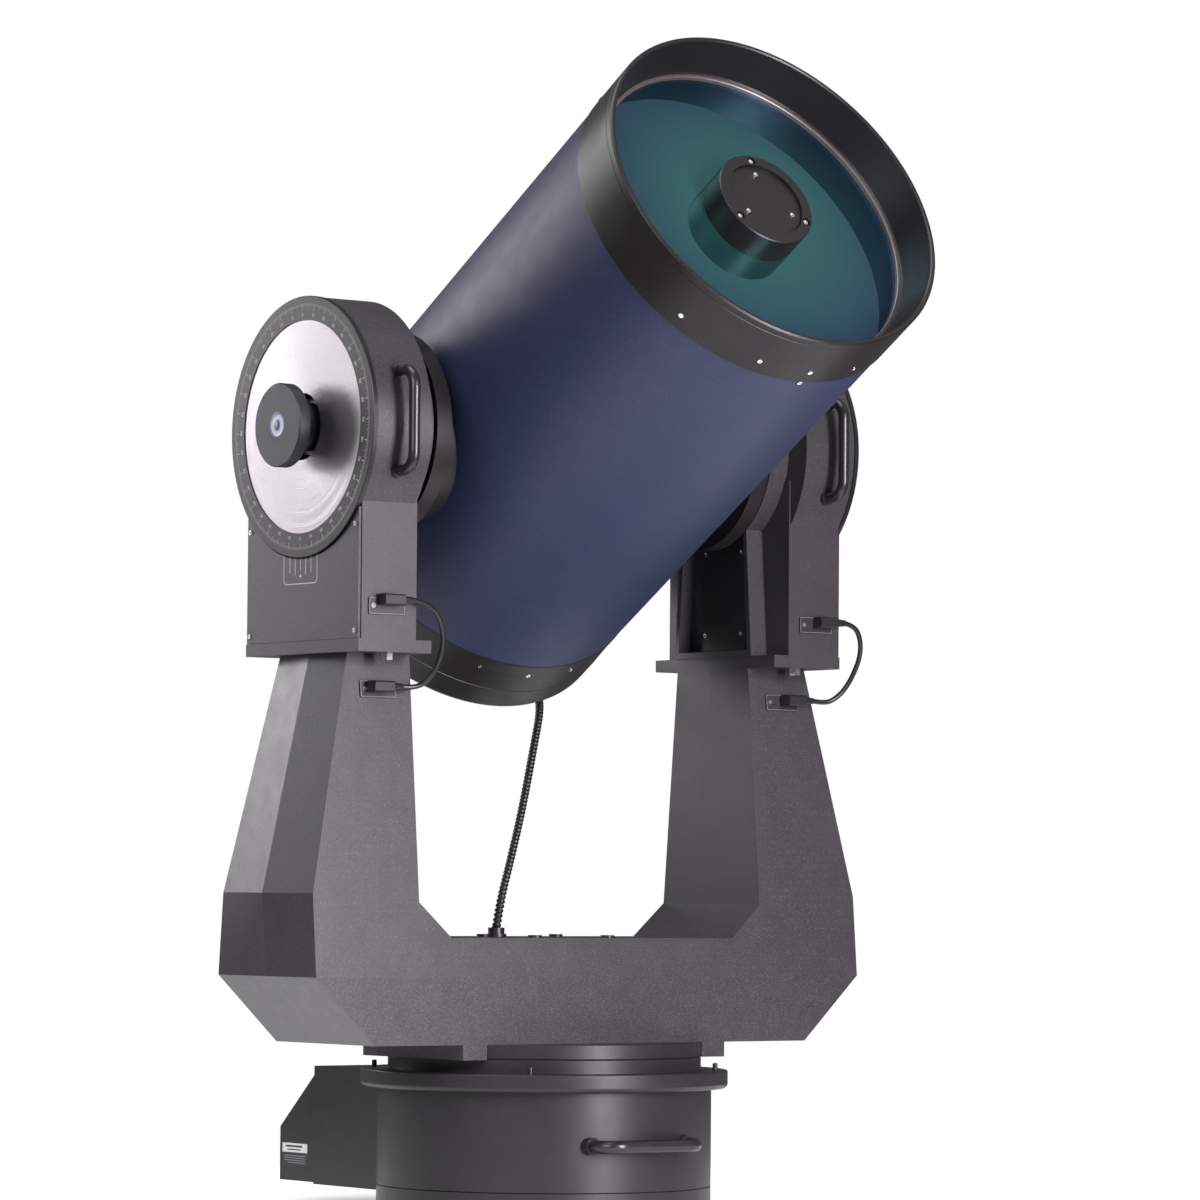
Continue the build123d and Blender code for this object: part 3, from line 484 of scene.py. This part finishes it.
def joined_boxes(middles: np.ndarray, halves: np.ndarray, across: np.ndarray, along: np.ndarray,
                 out: np.ndarray) -> tuple[np.ndarray, np.ndarray]:
    """Many small closed boxes at once.

    Each corner is middle plus or minus across, along and out, each times its half size.

    Args:
        middles: (n, 3) box middles.
        halves: (n, 3) half sizes along the three directions.
        across: (n, 3) first directions.
        along: (n, 3) second directions.
        out: (n, 3) third directions, with across x along = out.

    Returns:
        Points (8n, 3) and faces (6n, 4).
    """
    signs = np.array([(x, y, z) for z in (-1, 1) for y in (-1, 1) for x in (-1, 1)], float)
    steps = signs[None, :, :] * halves[:, None, :]
    points = middles[:, None, :] + steps[..., :1] * across[:, None, :]
    points = points + steps[..., 1:2] * along[:, None, :] + steps[..., 2:] * out[:, None, :]
    box = np.array([
        (0, 2, 3, 1), (4, 5, 7, 6), (0, 1, 5, 4), (2, 6, 7, 3), (0, 4, 6, 2), (1, 3, 7, 5),
    ])
    faces = box[None] + 8 * np.arange(len(middles))[:, None, None]
    return points.reshape(-1, 3), faces.reshape(-1, 4)


def flat_numbers(texts: list[str], height: float) -> list[tuple[np.ndarray, list[list[int]]]]:
    """Each text as a flat mesh in its own XY plane, centred, with the given letter height.

    Args:
        texts: generic numbers.
        height: height of the digits in metres.

    Returns:
        For each text its points (n, 3) and its faces.
    """
    shapes = []
    for text in texts:
        curve = bpy.data.curves.new("digits", "FONT")
        curve.body = text
        curve.size = height / 0.7
        curve.align_x = "CENTER"
        curve.align_y = "CENTER"
        curve.resolution_u = 2
        holder = bpy.data.objects.new("digits", curve)
        bpy.context.scene.collection.objects.link(holder)
        bpy.context.view_layer.update()
        mesh = bpy.data.meshes.new_from_object(holder)
        points = np.zeros(len(mesh.vertices) * 3)
        mesh.vertices.foreach_get("co", points)
        shapes.append((points.reshape(-1, 3), [list(face.vertices) for face in mesh.polygons]))
        bpy.data.objects.remove(holder)
        bpy.data.meshes.remove(mesh)
    return shapes


def finish_piece(piece: bpy.types.Object, body: str) -> bpy.types.Object:
    """Make a piece ride on its body and report it."""
    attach(piece, body)
    log.info("%s rides on %s with %d faces", piece.name, body, len(piece.data.polygons))
    return piece


class Side(Enum):
    """The two ends of the declination axis; the value is the sign of X."""

    LEFT = -1
    RIGHT = 1

    @property
    def word(self) -> str:
        """The side's name in lower case."""
        return self.name.lower()


# ------------------------------------------------------------------ declination dials
@dataclass
class DeclinationDial:
    """A setting circle with its divisions and numbers, the spun disc in it and the hub's badge."""

    side: Side
    paints: dict[str, bpy.types.Material]
    ring_inner: float = 133.5 * MM
    ring_outer: float = 163.6 * MM
    hub_radius: float = 52.5 * MM
    mark_rise: float = 0.12 * MM
    scale_reach: float = 20.5 * MM
    digit_height: float = 4.6 * MM
    disc_waves: int = 46
    wave_points: int = 6
    disc_columns: int = 144

    def __post_init__(self) -> None:
        """Find the dial's centre and its outside face from the frame."""
        self.centre = hinge_point("dec_turn")
        low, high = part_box("setting_circles")
        self.face = high.x if self.side is Side.RIGHT else low.x

    def radial(self, turn: np.ndarray) -> tuple[np.ndarray, np.ndarray, np.ndarray]:
        """Directions at angles round the dial: round it, out from the hub and out of its face."""
        sign = self.side.value
        zero = np.zeros_like(turn)
        outward = np.stack([zero, np.sin(turn) * sign, np.cos(turn)], axis=1)
        face = np.stack([zero + sign, zero, zero], axis=1)
        across = np.cross(outward, face)
        return across, outward, face

    def divisions(self) -> bpy.types.Object:
        """Raised white division lines: each a thin box that points at the hub."""
        degrees = np.arange(0, 360, 1.0)
        turn = np.radians(degrees)
        across, outward, face = self.radial(turn)
        long = np.where(degrees % 10 == 0, 8.4, np.where(degrees % 5 == 0, 6.0, 3.6)) * MM
        wide = np.where(degrees % 10 == 0, 0.30, 0.20) * MM
        reach = self.ring_inner + self.scale_reach - long / 2
        middles = np.array(self.centre)[None] + outward * reach[:, None]
        middles[:, 0] = self.face
        halves = np.stack([wide, long / 2, np.full_like(long, self.mark_rise)], axis=1)
        points, faces = joined_boxes(middles, halves, across, outward, face)
        name = f"circle_divisions_{self.side.word}"
        piece = add_mesh(name, points, faces, [self.paints["ink_white"]], False)
        return finish_piece(piece, "optical_tube_assembly")

    def numbers(self) -> bpy.types.Object:
        """Degrees from 0 to 90 and back, four times round the circle, reading from inside."""
        degrees = np.arange(0, 360, 10)
        labels = [str(int(90 - abs(90 - degree % 180))) for degree in degrees]
        across, outward, _ = self.radial(np.radians(degrees.astype(float)))
        points: list[np.ndarray] = []
        faces: list[list[int]] = []
        start = 0
        middle_radius = self.ring_inner + 6.2 * MM
        shapes = flat_numbers(labels, self.digit_height)
        for (flat, flat_faces), side_way, up in zip(shapes, across, outward):
            spot = np.array(self.centre) + up * middle_radius
            placed = spot + flat[:, :1] * side_way + flat[:, 1:2] * up
            placed[:, 0] = self.face + self.side.value * 0.1 * MM
            points.append(placed)
            faces += [[start + corner for corner in face] for face in flat_faces]
            start += len(placed)
        name = f"circle_numbers_{self.side.word}"
        piece = add_mesh(name, np.concatenate(points), faces, [self.paints["ink_white"]], False)
        return finish_piece(piece, "optical_tube_assembly")

    def disc(self) -> tuple[np.ndarray, np.ndarray]:
        """The spun disc's ripples: concentric waves of uneven height, turned about the axis.

        The face's depth is the sum of a sine of the radius, with a height drawn once for each
        wave, so light spreads into two fans across the hub as it does on a lathe-turned face.

        Returns:
            Points and faces of one closed disc.
        """
        draw = np.random.default_rng(11 + self.side.value)
        count = self.disc_waves * self.wave_points + 1
        share = np.linspace(0.0, 1.0, count)
        radius = self.hub_radius * 0.8 + share * (self.ring_inner - 0.2 * MM - self.hub_radius * 0.8)
        heights = draw.uniform(0.25, 1.0, self.disc_waves + 1) * 0.11 * MM
        wave = np.minimum((share * self.disc_waves).astype(int), self.disc_waves)
        ripple = heights[wave] * (1.0 - np.cos(2 * np.pi * share * self.disc_waves)) / 2
        low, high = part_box("dec_discs")
        front = (high.x if self.side is Side.RIGHT else low.x) - self.side.value * ripple
        back = np.array([self.face - self.side.value * 6.0 * MM] * 2)
        profile_radius = np.concatenate([radius, [radius[-1], radius[0]]])
        profile_x = np.concatenate([front, back])
        turn = np.linspace(0.0, 2 * np.pi, self.disc_columns, endpoint=False)
        y = self.centre.y + profile_radius[:, None] * np.sin(turn)[None]
        z = self.centre.z + profile_radius[:, None] * np.cos(turn)[None]
        x = np.broadcast_to(profile_x[:, None], y.shape)
        faces = grid_faces(len(profile_x), self.disc_columns, True, True)
        if self.side is Side.RIGHT:
            faces = faces[:, ::-1]
        return np.stack([x, y, z], axis=-1).reshape(-1, 3), faces

    def badge(self) -> bpy.types.Object:
        """A small round badge of three plain rings on the hub."""
        low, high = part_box("dec_clamp_knob" if self.side is Side.LEFT else "dec_slow_motion_knob")
        top = (high.x if self.side is Side.RIGHT else low.x) + self.side.value * 0.15 * MM
        radii = np.array([0.0, 7.0, 7.0, 14.0, 14.0, 16.5, 16.5]) * MM
        depth = np.array([0.0, 0.0, 0.05, 0.05, 0.0, 0.0, 0.4]) * MM
        turn = np.linspace(0.0, 2 * np.pi, 64, endpoint=False)
        x = np.broadcast_to((top - self.side.value * depth)[:, None], (len(radii), 64))
        y = self.centre.y + radii[:, None] * np.sin(turn)[None]
        z = self.centre.z + radii[:, None] * np.cos(turn)[None]
        points = np.stack([x, y, z], axis=-1).reshape(-1, 3)
        faces = grid_faces(len(radii), 64, False, True)
        if self.side is Side.RIGHT:
            faces = faces[:, ::-1]
        paints = [self.paints[name] for name in ("badge_blue", "ink_white")]
        piece = add_mesh(f"hub_badge_{self.side.word}", points, faces, paints)
        rings = np.repeat([0, 0, 1, 1, 0, 0], 64)
        piece.data.polygons.foreach_set("material_index", rings)
        body = "dec_clamp" if self.side is Side.LEFT else "dec_slow_motion"
        return finish_piece(piece, body)


def build_spun_discs(dials: list[DeclinationDial]) -> bpy.types.Object:
    """Both spun discs as one piece, in place of the frame's plain ones."""
    shapes = [dial.disc() for dial in dials]
    points = np.concatenate([shape[0] for shape in shapes])
    faces = np.concatenate([shapes[0][1], shapes[1][1] + len(shapes[0][0])])
    piece = add_mesh("spun_discs", points, faces, [dials[0].paints["spun_aluminium"]])
    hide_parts("dec_discs")
    return finish_piece(piece, "optical_tube_assembly")


# ------------------------------------------------------------------ labels and plates
@dataclass
class CoverPointer:
    """The pointer label under a dial: a thin rounded frame, five lines and a dot."""

    side: Side
    paints: dict[str, bpy.types.Material]
    half_width: float = 38.0 * MM
    height: float = 38.0 * MM
    drop: float = 179.0 * MM
    line: float = 0.55 * MM
    corner: float = 6.0 * MM

    def build(self) -> bpy.types.Object:
        """Build the frame as a swept rounded rectangle, open at the top, and the lines as boxes.

        Returns:
            The label, riding on the fork.
        """
        centre = hinge_point("dec_turn")
        low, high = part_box("side_covers")
        face = (high.x if self.side is Side.RIGHT else low.x) + self.side.value * 0.05 * MM
        top = centre.z - self.drop + 21.0 * MM
        foot = centre.z - self.drop - 17.0 * MM
        arc = np.radians(np.linspace(0, 90, 7))
        right = np.stack([
            self.half_width - self.corner + self.corner * np.cos(arc),
            -self.corner * np.sin(arc),
        ], axis=1)
        corner_y = right[:, 0]
        corner_z = foot + self.corner + right[:, 1]
        y = np.concatenate([[self.half_width], corner_y, -corner_y[::-1], [-self.half_width]])
        z = np.concatenate([[top], corner_z, corner_z[::-1], [top]])
        y = y + centre.y + 4.0 * MM
        starts = np.stack([y[:-1], z[:-1]], axis=1)
        ends = np.stack([y[1:], z[1:]], axis=1)
        ticks_y = centre.y + 4.0 * MM + np.array([-24.0, -12.0, 0.0, 12.0, 24.0]) * MM
        ticks_top = np.full(5, top)
        ticks_foot = foot + np.array([14.0, 11.0, 16.0, 11.0, 14.0]) * MM
        starts = np.concatenate([starts, np.stack([ticks_y, ticks_foot], axis=1)])
        ends = np.concatenate([ends, np.stack([ticks_y, ticks_top], axis=1)])
        dot = np.array([[ticks_y[2] - 1.6 * MM, foot + 9.5 * MM]])
        starts = np.concatenate([starts, dot])
        ends = np.concatenate([ends, dot + [[3.2 * MM, 0.0]]])
        middle = (starts + ends) / 2
        run = ends - starts
        length = np.linalg.norm(run, axis=1)
        run = run / length[:, None]
        zero = np.zeros(len(run))
        along = np.stack([zero, run[:, 0], run[:, 1]], axis=1)
        out = np.stack([zero + self.side.value, zero, zero], axis=1)
        across = np.cross(along, out)
        middles = np.stack([zero + face, middle[:, 0], middle[:, 1]], axis=1)
        width = np.full(len(run), self.line)
        width[-1] = 1.6 * MM
        halves = np.stack([width, length / 2 + 0.1 * MM, zero + 0.06 * MM], axis=1)
        points, faces = joined_boxes(middles, halves, across, along, out)
        name = f"pointer_label_{self.side.word}"
        piece = add_mesh(name, points, faces, [self.paints["ink_white"]], False)
        return finish_piece(piece, "fork")


@dataclass
class PlateTrim:
    """The thin printed border of each connector plate."""

    paints: dict[str, bpy.types.Material]
    half_width: float = 25.6 * MM
    half_height: float = 9.6 * MM
    line: float = 0.22 * MM

    def build(self) -> bpy.types.Object:
        """Four border lines on each of the four plates, found from the plates' own faces.

        Returns:
            The borders as one piece.
        """
        plates = frame["nodes"]["connector_plates"].data
        count = len(plates.polygons)
        centres = np.zeros(count * 3)
        normals = np.zeros(count * 3)
        areas = np.zeros(count)
        plates.polygons.foreach_get("center", centres)
        plates.polygons.foreach_get("normal", normals)
        plates.polygons.foreach_get("area", areas)
        centres, normals = centres.reshape(-1, 3), normals.reshape(-1, 3)
        front = normals[:, 1] < -0.9
        shapes: list[tuple[np.ndarray, np.ndarray]] = []
        for right in (False, True):
            for upper in (False, True):
                half = (centres[:, 0] > 0) == right
                level = (centres[:, 2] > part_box("housing_bolts")[0].z + 5 * MM) == upper
                chosen = front & half & level
                weight = areas[chosen]
                normal = np.average(normals[chosen], axis=0, weights=weight)
                normal = normal / np.linalg.norm(normal)
                corners = self.extent(plates, chosen)
                shapes.append(self.border((corners[0] + corners[1]) / 2, normal))
        points = np.concatenate([shape[0] for shape in shapes])
        faces = np.concatenate([shape[1] + 32 * number for number, shape in enumerate(shapes)])
        piece = add_mesh("plate_borders", points, faces, [self.paints["ink_grey"]], False)
        return finish_piece(piece, "fork")

    @staticmethod
    def extent(mesh: bpy.types.Mesh, chosen: np.ndarray) -> tuple[np.ndarray, np.ndarray]:
        """Lowest and highest corner of the chosen faces."""
        points = np.zeros(len(mesh.vertices) * 3)
        mesh.vertices.foreach_get("co", points)
        used = [mesh.polygons[int(number)].vertices for number in np.flatnonzero(chosen)]
        used_points = points.reshape(-1, 3)[[corner for corners in used for corner in corners]]
        return used_points.min(axis=0), used_points.max(axis=0)

    def border(self, middle: np.ndarray, normal: np.ndarray) -> tuple[np.ndarray, np.ndarray]:
        """Four thin boxes round a plate's middle, lying on its face."""
        side = np.array([1.0, 0.0, 0.0])
        up = np.cross(normal, side)
        spots = np.array([(0, 1), (0, -1), (1, 0), (-1, 0)], float)
        middles = middle + spots[:, :1] * side * self.half_width
        middles = middles + spots[:, 1:] * up * self.half_height
        flat = spots[:, 0] == 0
        halves = np.stack([
            np.where(flat, self.half_width + self.line, self.line),
            np.where(flat, self.line, self.half_height - self.line),
            np.full(4, 0.05 * MM),
        ], axis=1)
        repeat = np.ones((4, 1))
        return joined_boxes(middles, halves, repeat * side, repeat * up, repeat * normal)


@dataclass
class BoxLabel:
    """The two-tone label on the console's left side, with plain bars in place of words."""

    paints: dict[str, bpy.types.Material]
    foot: float = 34.0 * MM
    back: float = 36.0 * MM

    def build(self) -> bpy.types.Object:
        """Build a white field, a black field and the bars as thin boxes on the side's face.

        Returns:
            The label, riding on the drive base.
        """
        low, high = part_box("control_console")
        y = high.y - self.back
        z = low.z + self.foot
        sizes = np.array([
            (0.0, 9.0, 30.0, 6.0, 0.10), (0.0, -6.0, 30.0, 9.0, 0.10),
            (2.0, 11.0, 20.0, 1.2, 0.14), (2.0, 6.5, 16.0, 0.8, 0.14),
            (0.0, -1.5, 25.0, 0.45, 0.14), (0.0, -4.5, 25.0, 0.45, 0.14),
            (0.0, -7.5, 25.0, 0.45, 0.14), (-4.0, -10.5, 21.0, 0.45, 0.14),
        ]) * MM
        middles = np.stack([np.full(len(sizes), low.x), y + sizes[:, 0], z + sizes[:, 1]], axis=1)
        halves = sizes[:, 2:]
        repeat = np.ones((len(sizes), 1))
        points, faces = joined_boxes(
            middles, halves, repeat * np.array([0.0, -1.0, 0.0]), repeat * np.array([0.0, 0.0, 1.0]),
            repeat * np.array([-1.0, 0.0, 0.0]),
        )
        paints = [self.paints[name] for name in ("ink_white", "label_black", "ink_grey")]
        piece = add_mesh("console_label", points, faces, paints, False)
        piece.data.polygons.foreach_set("material_index", np.repeat([0, 1, 1, 1, 2, 2, 2, 2], 6))
        return finish_piece(piece, "drive_base")


# ------------------------------------------------------------------ cords
def smooth_line(name: str, route: list[Point]) -> bpy.types.Object:
    """A NURBS line with the route's points as its control points, and no thickness."""
    curve = bpy.data.curves.new(name, "CURVE")
    curve.dimensions = "3D"
    curve.resolution_u = 12
    spline = curve.splines.new("NURBS")
    spline.points.add(len(route) - 1)
    for point, spot in zip(spline.points, route):
        point.co = (*spot, 1.0)
    spline.order_u = 3
    spline.use_endpoint_u = True
    made = bpy.data.objects.new(name, curve)
    bpy.context.scene.collection.objects.link(made)
    return made


@dataclass
class JumperCable:
    """A short smooth cable between an upper and a lower plug on one arm."""

    side: Side
    route: list[Point]
    length: float
    paints: dict[str, bpy.types.Material]
    diameter: float = 6.5 * MM

    def build(self) -> bpy.types.Object:
        """Returns:
            The cable, which stands for the frame's plain tube.
        """
        cable = smooth_line(f"jumper_{self.side.word}", self.route)
        cable.data.bevel_depth = self.diameter / 2
        cable.data.bevel_resolution = 5
        cable.data.materials.append(self.paints["cable_black"])
        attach(cable, "fork")
        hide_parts(f"jumper_cable_{self.side.word}")
        log.info("%s is %.1f mm long", cable.name, self.length / MM)
        return cable


@dataclass
class Conduit:
    """The corrugated conduit from the fork's floor to the back of the tube."""

    route: list[Point]
    length: float
    paints: dict[str, bpy.types.Material]
    diameter: float = 12.7 * MM
    pitch: float = 7.0 * MM
    ring_depth: float = 2.0 * MM
    columns: int = 20
    rings_per_pitch: int = 10

    def build(self) -> bpy.types.Object:
        """The radius is the outside less ring_depth times a squared sine of the arc length, so the
        crests are round and the grooves narrow; each section's frame is set from world X.

        Returns:
            The conduit, curved along its route from the fork to the tube.
        """
        line = smooth_line("conduit_line", self.route)
        bpy.context.view_layer.update()
        read = bpy.data.meshes.new_from_object(line)
        points = np.zeros(len(read.vertices) * 3)
        read.vertices.foreach_get("co", points)
        points = points.reshape(-1, 3)
        bpy.data.objects.remove(line)
        bpy.data.meshes.remove(read)
        steps = np.linalg.norm(np.diff(points, axis=0), axis=1)
        reach = np.concatenate([[0.0], np.cumsum(steps)])
        rows = int(reach[-1] / self.pitch) * self.rings_per_pitch + 1
        along = np.linspace(0.0, reach[-1], rows)
        spots = np.stack([np.interp(along, reach, points[:, axis]) for axis in range(3)], axis=1)
        smooth = spots.copy()
        for _ in range(6):
            smooth[1:-1] = (smooth[:-2] + smooth[1:-1] * 2 + smooth[2:]) / 4
        heading = np.gradient(smooth, axis=0)
        heading = heading / np.linalg.norm(heading, axis=1)[:, None]
        side = np.cross(heading, self.least_twist(heading))
        up = np.cross(side, heading)
        groove = np.sin(np.pi * along / self.pitch) ** 2
        radius = self.diameter / 2 - self.ring_depth * (1.0 - groove)
        radius[[0, -1]] = self.diameter / 2
        turn = np.linspace(0.0, 2 * np.pi, self.columns, endpoint=False)
        ring = side[:, None] * np.cos(turn)[None, :, None] + up[:, None] * np.sin(turn)[None, :, None]
        skin = smooth[:, None] + ring * radius[:, None, None]
        faces = grid_faces(rows, self.columns, False, True)[:, ::-1].tolist()
        faces.append(list(range(self.columns)))
        faces.append(list(range(rows * self.columns - 1, (rows - 1) * self.columns - 1, -1)))
        piece = add_mesh("conduit_sleeve", skin, faces, [self.paints["conduit_black"]])
        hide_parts("conduit")
        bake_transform(piece)
        log.info("%s has %d faces", piece.name, len(faces))
        return piece

    @staticmethod
    def least_twist(heading: np.ndarray) -> np.ndarray:
        """A direction for each section to build its frame from: world X."""
        lean = np.zeros_like(heading)
        lean[:, 0] = 1.0
        return lean


# ------------------------------------------------------------------ studio
@dataclass(frozen=True)
class Softbox:
    """One rectangular area light."""

    name: str
    place: Point
    aim: Point
    size: tuple[float, float]
    power: float
    colour: Colour = (1.0, 1.0, 1.0)

    def hang(self) -> None:
        """Add the light, facing its aim."""
        light = bpy.data.lights.new(self.name, "AREA")
        light.shape = "RECTANGLE"
        light.size, light.size_y = self.size
        light.energy = self.power
        light.color = self.colour
        holder = bpy.data.objects.new(self.name, light)
        holder.location = self.place
        heading = Vector(self.aim) - Vector(self.place)
        holder.rotation_euler = heading.to_track_quat("-Z", "Y").to_euler()
        bpy.context.scene.collection.objects.link(holder)


@dataclass
class Studio:
    """Pale floor, soft lights, white surroundings and the camera."""

    camera_place: Point = (-3.9434, -5.5338, 0.4166)
    azimuth: float = 36.035
    pitch: float = 3.098
    roll: float = 0.4576
    lens: float = 158.59
    floor_radius: float = 1.15
    fill: float = 0.14

    def floor(self) -> None:
        """A round pale floor with a faint unevenness in its paint."""
        radius = np.linspace(0.02, self.floor_radius, 6)[:, None]
        turn = np.linspace(0.0, 2 * np.pi, 96, endpoint=False)[None]
        across, along = radius * np.cos(turn), radius * np.sin(turn)
        points = np.stack([across, along, np.zeros_like(across)], axis=-1)
        tree = Tree("studio_floor")
        tone = tree.noise(tree.place(), 0.8, 3.0)
        tree.feed(
            Base_Color=tree.mix(tone, opaque((0.90, 0.90, 0.90)), opaque((0.94, 0.94, 0.94))),
            Roughness=0.8,
            Emission_Color=opaque((1.0, 1.0, 1.0)),
            Emission_Strength=0.5,
        )
        ground = add_mesh("floor", points, grid_faces(6, 96, False, True), [tree.material])

    def surroundings(self) -> None:
        """White behind the object, and a much softer white as the light that falls on it."""
        world = bpy.data.worlds.new("studio")
        bpy.context.scene.world = world
        world.use_nodes = True
        nodes, links = world.node_tree.nodes, world.node_tree.links
        fill = nodes["Background"]
        fill.inputs["Color"].default_value = (1.0, 0.97, 1.0, 1.0)
        fill.inputs["Strength"].default_value = self.fill
        seen = nodes.new("ShaderNodeBackground")
        seen.inputs["Color"].default_value = (1.0, 1.0, 1.0, 1.0)
        seen.inputs["Strength"].default_value = 1.0
        path = nodes.new("ShaderNodeLightPath")
        choose = nodes.new("ShaderNodeMixShader")
        links.new(path.outputs["Is Camera Ray"], choose.inputs[0])
        links.new(fill.outputs[0], choose.inputs[1])
        links.new(seen.outputs[0], choose.inputs[2])
        links.new(choose.outputs[0], nodes["World Output"].inputs["Surface"])

    def lights(self) -> None:
        """A strong softbox to the left, weaker ones to the right, overhead and behind."""
        aim = (0.0, 0.0, 0.8)
        warm = (1.0, 0.95, 1.0)
        for box in (
            Softbox("key_left", (-3.6, -1.6, 2.3), aim, (2.2, 2.2), 95.0, (1.0, 0.96, 1.0)),
            Softbox("front_right", (0.2, -2.7, 0.9), (-0.35, -0.1, 0.7), (0.6, 1.6), 125.0, warm),
            Softbox("left_back", (-1.05, 1.9, 1.0), (0.1, 0.0, 0.6), (0.6, 1.0), 6.5, warm),
            Softbox("glass_card", (2.3, -1.4, 3.6), (0.0, -0.4, 1.2), (2.4, 2.4), 8.0),
            Softbox("overhead", (-0.6, -0.2, 4.0), aim, (2.0, 2.0), 60.0),
            Softbox("behind", (-1.5, 4.2, 2.4), aim, (2.4, 1.8), 60.0),
        ):
            box.hang()

    def camera(self) -> None:
        """The camera, from its place, azimuth, pitch and roll."""
        turn, lift, lean = (math.radians(angle) for angle in (self.azimuth, self.pitch, self.roll))
        level = math.cos(lift)
        ahead = Vector((math.sin(turn) * level, math.cos(turn) * level, math.sin(lift)))
        right = Vector((math.cos(turn), -math.sin(turn), 0.0))
        up = right.cross(ahead)
        across = right * math.cos(lean) + up * math.sin(lean)
        top = up * math.cos(lean) - right * math.sin(lean)
        data = bpy.data.cameras.new("camera")
        data.lens = self.lens
        data.sensor_width = 36.0
        data.clip_end = 200.0
        holder = bpy.data.objects.new("camera", data)
        bpy.context.scene.collection.objects.link(holder)
        holder.matrix_world = Matrix.Translation(self.camera_place) @ Matrix(
            (across, top, -ahead)
        ).transposed().to_4x4()
        bpy.context.scene.camera = holder

    def build(self) -> None:
        """Set up the whole studio."""
        self.floor()
        self.surroundings()
        self.lights()
        self.camera()
        bpy.context.scene.view_settings.view_transform = "Standard"


# ------------------------------------------------------------------ the whole telescope
LEFT_JUMPER_ROUTE: list[Point] = [
    (-0.305, -0.142, 0.766), (-0.281, -0.141, 0.763), (-0.259, -0.136, 0.744), (-0.249, -0.127, 0.715),
    (-0.250, -0.116, 0.690), (-0.257, -0.107, 0.670), (-0.273, -0.100, 0.660), (-0.290, -0.097, 0.661),
]
RIGHT_JUMPER_ROUTE: list[Point] = [
    (0.375, -0.142, 0.762), (0.392, -0.141, 0.759), (0.405, -0.137, 0.744), (0.412, -0.129, 0.722),
    (0.410, -0.118, 0.698), (0.402, -0.108, 0.676), (0.388, -0.101, 0.662), (0.373, -0.098, 0.659),
    (0.358, -0.097, 0.661),
]
CONDUIT_ROUTE: list[Point] = [
    (-0.070, 0.010, 0.3628), (-0.057, 0.020, 0.398), (-0.022, 0.050, 0.444), (0.033, 0.100, 0.518),
    (0.089, 0.155, 0.600), (0.128, 0.194, 0.654), (0.150, 0.238, 0.680), (0.160, 0.290, 0.692),
    (0.160, 0.340, 0.708), (0.154, 0.374, 0.738), (0.144, 0.386, 0.778), (0.133, 0.380, 0.820),
    (0.122, 0.362, 0.858), (0.115, 0.33479, 0.88964), (0.115, 0.29707, 0.91230),
]


def main() -> None:
    """Build the finishes, the dials, the labels, the cords and the studio, in that order."""
    logging.basicConfig(level=logging.INFO, format="%(name)s: %(message)s")
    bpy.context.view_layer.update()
    paintbox = Paintbox(tuple(node_middle("corrector_plate")))
    paintbox.dress_nodes()
    paints = paintbox.made
    JumperCable(Side.LEFT, LEFT_JUMPER_ROUTE, 0.1707, paints).build()
    JumperCable(Side.RIGHT, RIGHT_JUMPER_ROUTE, 0.1636, paints).build()
    Conduit(CONDUIT_ROUTE, 0.8194, paints).build()
    dials = [DeclinationDial(side, paints) for side in Side]
    build_spun_discs(dials)
    for dial in dials:
        dial.divisions()
        dial.numbers()
        dial.badge()
        CoverPointer(dial.side, paints).build()
    PlateTrim(paints).build()
    BoxLabel(paints).build()
    Studio().build()
    bpy.context.view_layer.update()


if __name__ == "__main__":
    main()
